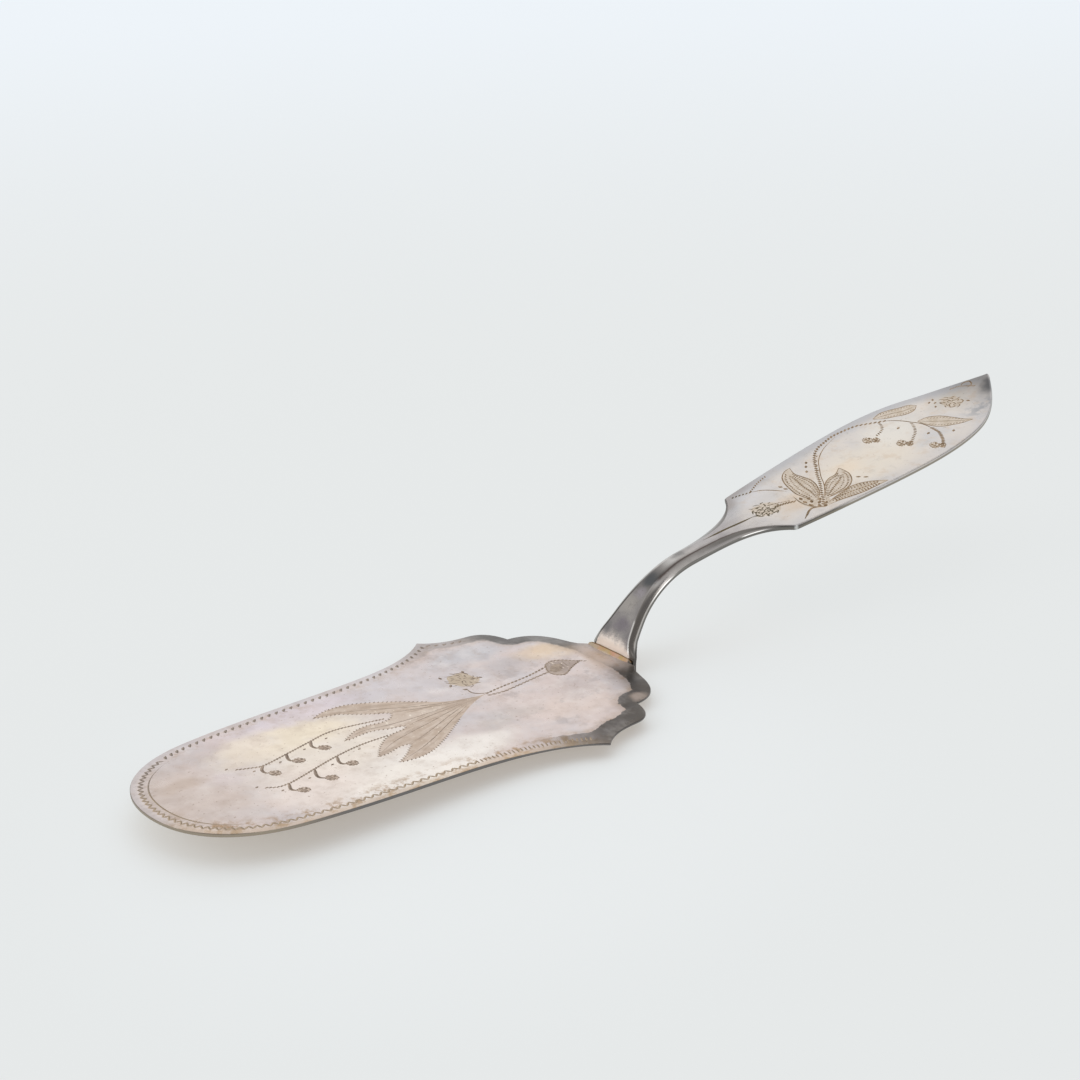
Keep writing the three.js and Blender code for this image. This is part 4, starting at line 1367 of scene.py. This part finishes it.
def make_floor():
    """Pale paper that partly glows for the camera, less round the blade, so that shadows are light enough."""
    mesh = bpy.data.meshes.new("floor")
    corners = [(x * FLOOR_HALF, y * FLOOR_HALF, 0) for x, y in ((-1, -1), (1, -1), (1, 1), (-1, 1))]
    mesh.from_pydata(corners, [], [(0, 1, 2, 3)])
    n = Nodes(bpy.data.materials.new("floor_paper"))
    ahead = n.math("ADD", n.times(n.axis("X"), 0.63), n.times(n.axis("Y"), 0.78))
    color = n.mix(n.span(ahead, 0.15, 1.0), PAPER_NEAR, PAPER_FAR)
    by_blade = n.blob(n.coords(), (-48, -28, 0), (124, 108, 1000))
    glow_share = n.span(by_blade, 0.0, 1.0, FAR_GLOW, NEAR_GLOW)
    # The glow is warmer by the blade, and the paper cooler by as much, so that only shadows show it
    warm = n.vector("MULTIPLY", color, 1 + SHADE_TINT)
    balance = n.math("DIVIDE", glow_share, n.invert(glow_share))
    less = n.vector("SCALE", -SHADE_TINT, n.times(balance, by_blade))
    cool = n.vector("MULTIPLY", color, n.vector("ADD", less, (1, 1, 1)))
    paper = n.add("ShaderNodeBsdfDiffuse", {"Color": cool})
    glow = n.add("ShaderNodeEmission", {"Color": n.mix(by_blade, color, warm), "Strength": 1.0})
    ray = n.add("ShaderNodeLightPath").outputs
    reflected = n.math("MAXIMUM", ray["Is Glossy Ray"], ray["Is Transmission Ray"])
    share = n.times(n.math("MAXIMUM", ray["Is Camera Ray"], reflected), glow_share)
    shader = n.add("ShaderNodeMixShader", {0: share, 1: paper.outputs[0], 2: glow.outputs[0]})
    n.output("ShaderNodeOutputMaterial", shader.outputs[0])
    mesh.materials.append(n.owner)
    floor = linked("floor", mesh)


def make_world():
    """A pale room, brightest beyond the grip and darkest in the middle, with bright strips and a window."""
    world = bpy.data.worlds.new("room")
    bpy.context.scene.world = world
    n = Nodes(world)
    direction = n.add("ShaderNodeTexCoord").outputs["Generated"]
    x, y, z = n.add("ShaderNodeSeparateXYZ", {"Vector": direction}).outputs
    ramp = n.add("ShaderNodeValToRGB", {"Fac": n.span(x, -1.0, 1.0, soft=False)})
    bar = ramp.color_ramp
    while len(bar.elements) < len(ROOM_LEVELS):
        bar.elements.new(0.5)
    for element, (place, level) in zip(bar.elements, ROOM_LEVELS):
        element.position = (place + 1) / 2
        element.color = grey(level)
    n.color = ramp.outputs["Color"]
    n.tint(ROOM_DARK, n.span(y, 0.2, -0.3))
    n.tint(ROOM_PALE, n.span(y, -0.3, -0.45), n.span(z, 0.46, 0.36))
    beyond = n.times(n.span(z, 0.66, 0.74), n.span(x, 0.02, 0.1), n.band(y, -0.68, -0.6, 0.2, 0.4))
    n.tint(ROOM_PALE, n.math("MAXIMUM", n.span(z, 0.92, 0.985), beyond))
    strip = n.band(n.vector("DOT_PRODUCT", direction, STRIP_ASIDE), -0.09, -0.04, 0.18, 0.24)
    n.tint(grey(STRIP_LEVEL), strip, n.span(x, -0.55, -0.62), n.span(z, -0.1, 0.1))
    n.tint(grey(STREAK_LEVEL), n.band(y, -0.6, -0.55, -0.47, -0.43), n.band(x, -0.13, -0.06, 0.04, 0.1))
    n.tint(grey(WINDOW_LEVEL), n.span(y, -0.7, -0.78), n.band(x, -0.52, -0.42, 0.42, 0.5))
    background = n.add("ShaderNodeBackground", {"Color": n.color, "Strength": 1.0})
    n.output("ShaderNodeOutputWorld", background.outputs["Background"])


def make_lamp(name, place, size, power):
    """A round lamp that shines on the middle of the part and is not mirrored in it."""
    data = bpy.data.lights.new(name, "AREA")
    data.shape = "DISK"
    data.size = size
    data.energy = power
    lamp = linked(name, data)
    lamp.location = place
    lamp.rotation_euler = (-Vector(place)).to_track_quat("-Z", "Y").to_euler()
    lamp.visible_glossy = False


def make_camera():
    data = bpy.data.cameras.new("camera")
    data.sensor_width = SENSOR_WIDTH
    data.lens = SENSOR_WIDTH * FOCAL_PIXELS / PHOTO_PIXELS
    camera = linked("camera", data)
    turn = Matrix((CAMERA_RIGHT, CAMERA_UP, CAMERA_BACK)).transposed().to_4x4()
    camera.matrix_world = Matrix.Translation(Vector(CAMERA_PLACE) * MM) @ turn
    bpy.context.scene.camera = camera


make_camera()
make_world()
make_floor()
for lamp in LAMPS:
    make_lamp(*lamp)

for make, node, slot in ((make_blade, "blade", "blade_silver"), (make_handle, "handle", "handle_silver"),
                         (make_solder, "solder", "solder_brass")):
    piece = make()
    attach(piece, "root")
    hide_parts(node)

bpy.context.scene.view_settings.view_transform = "Standard"
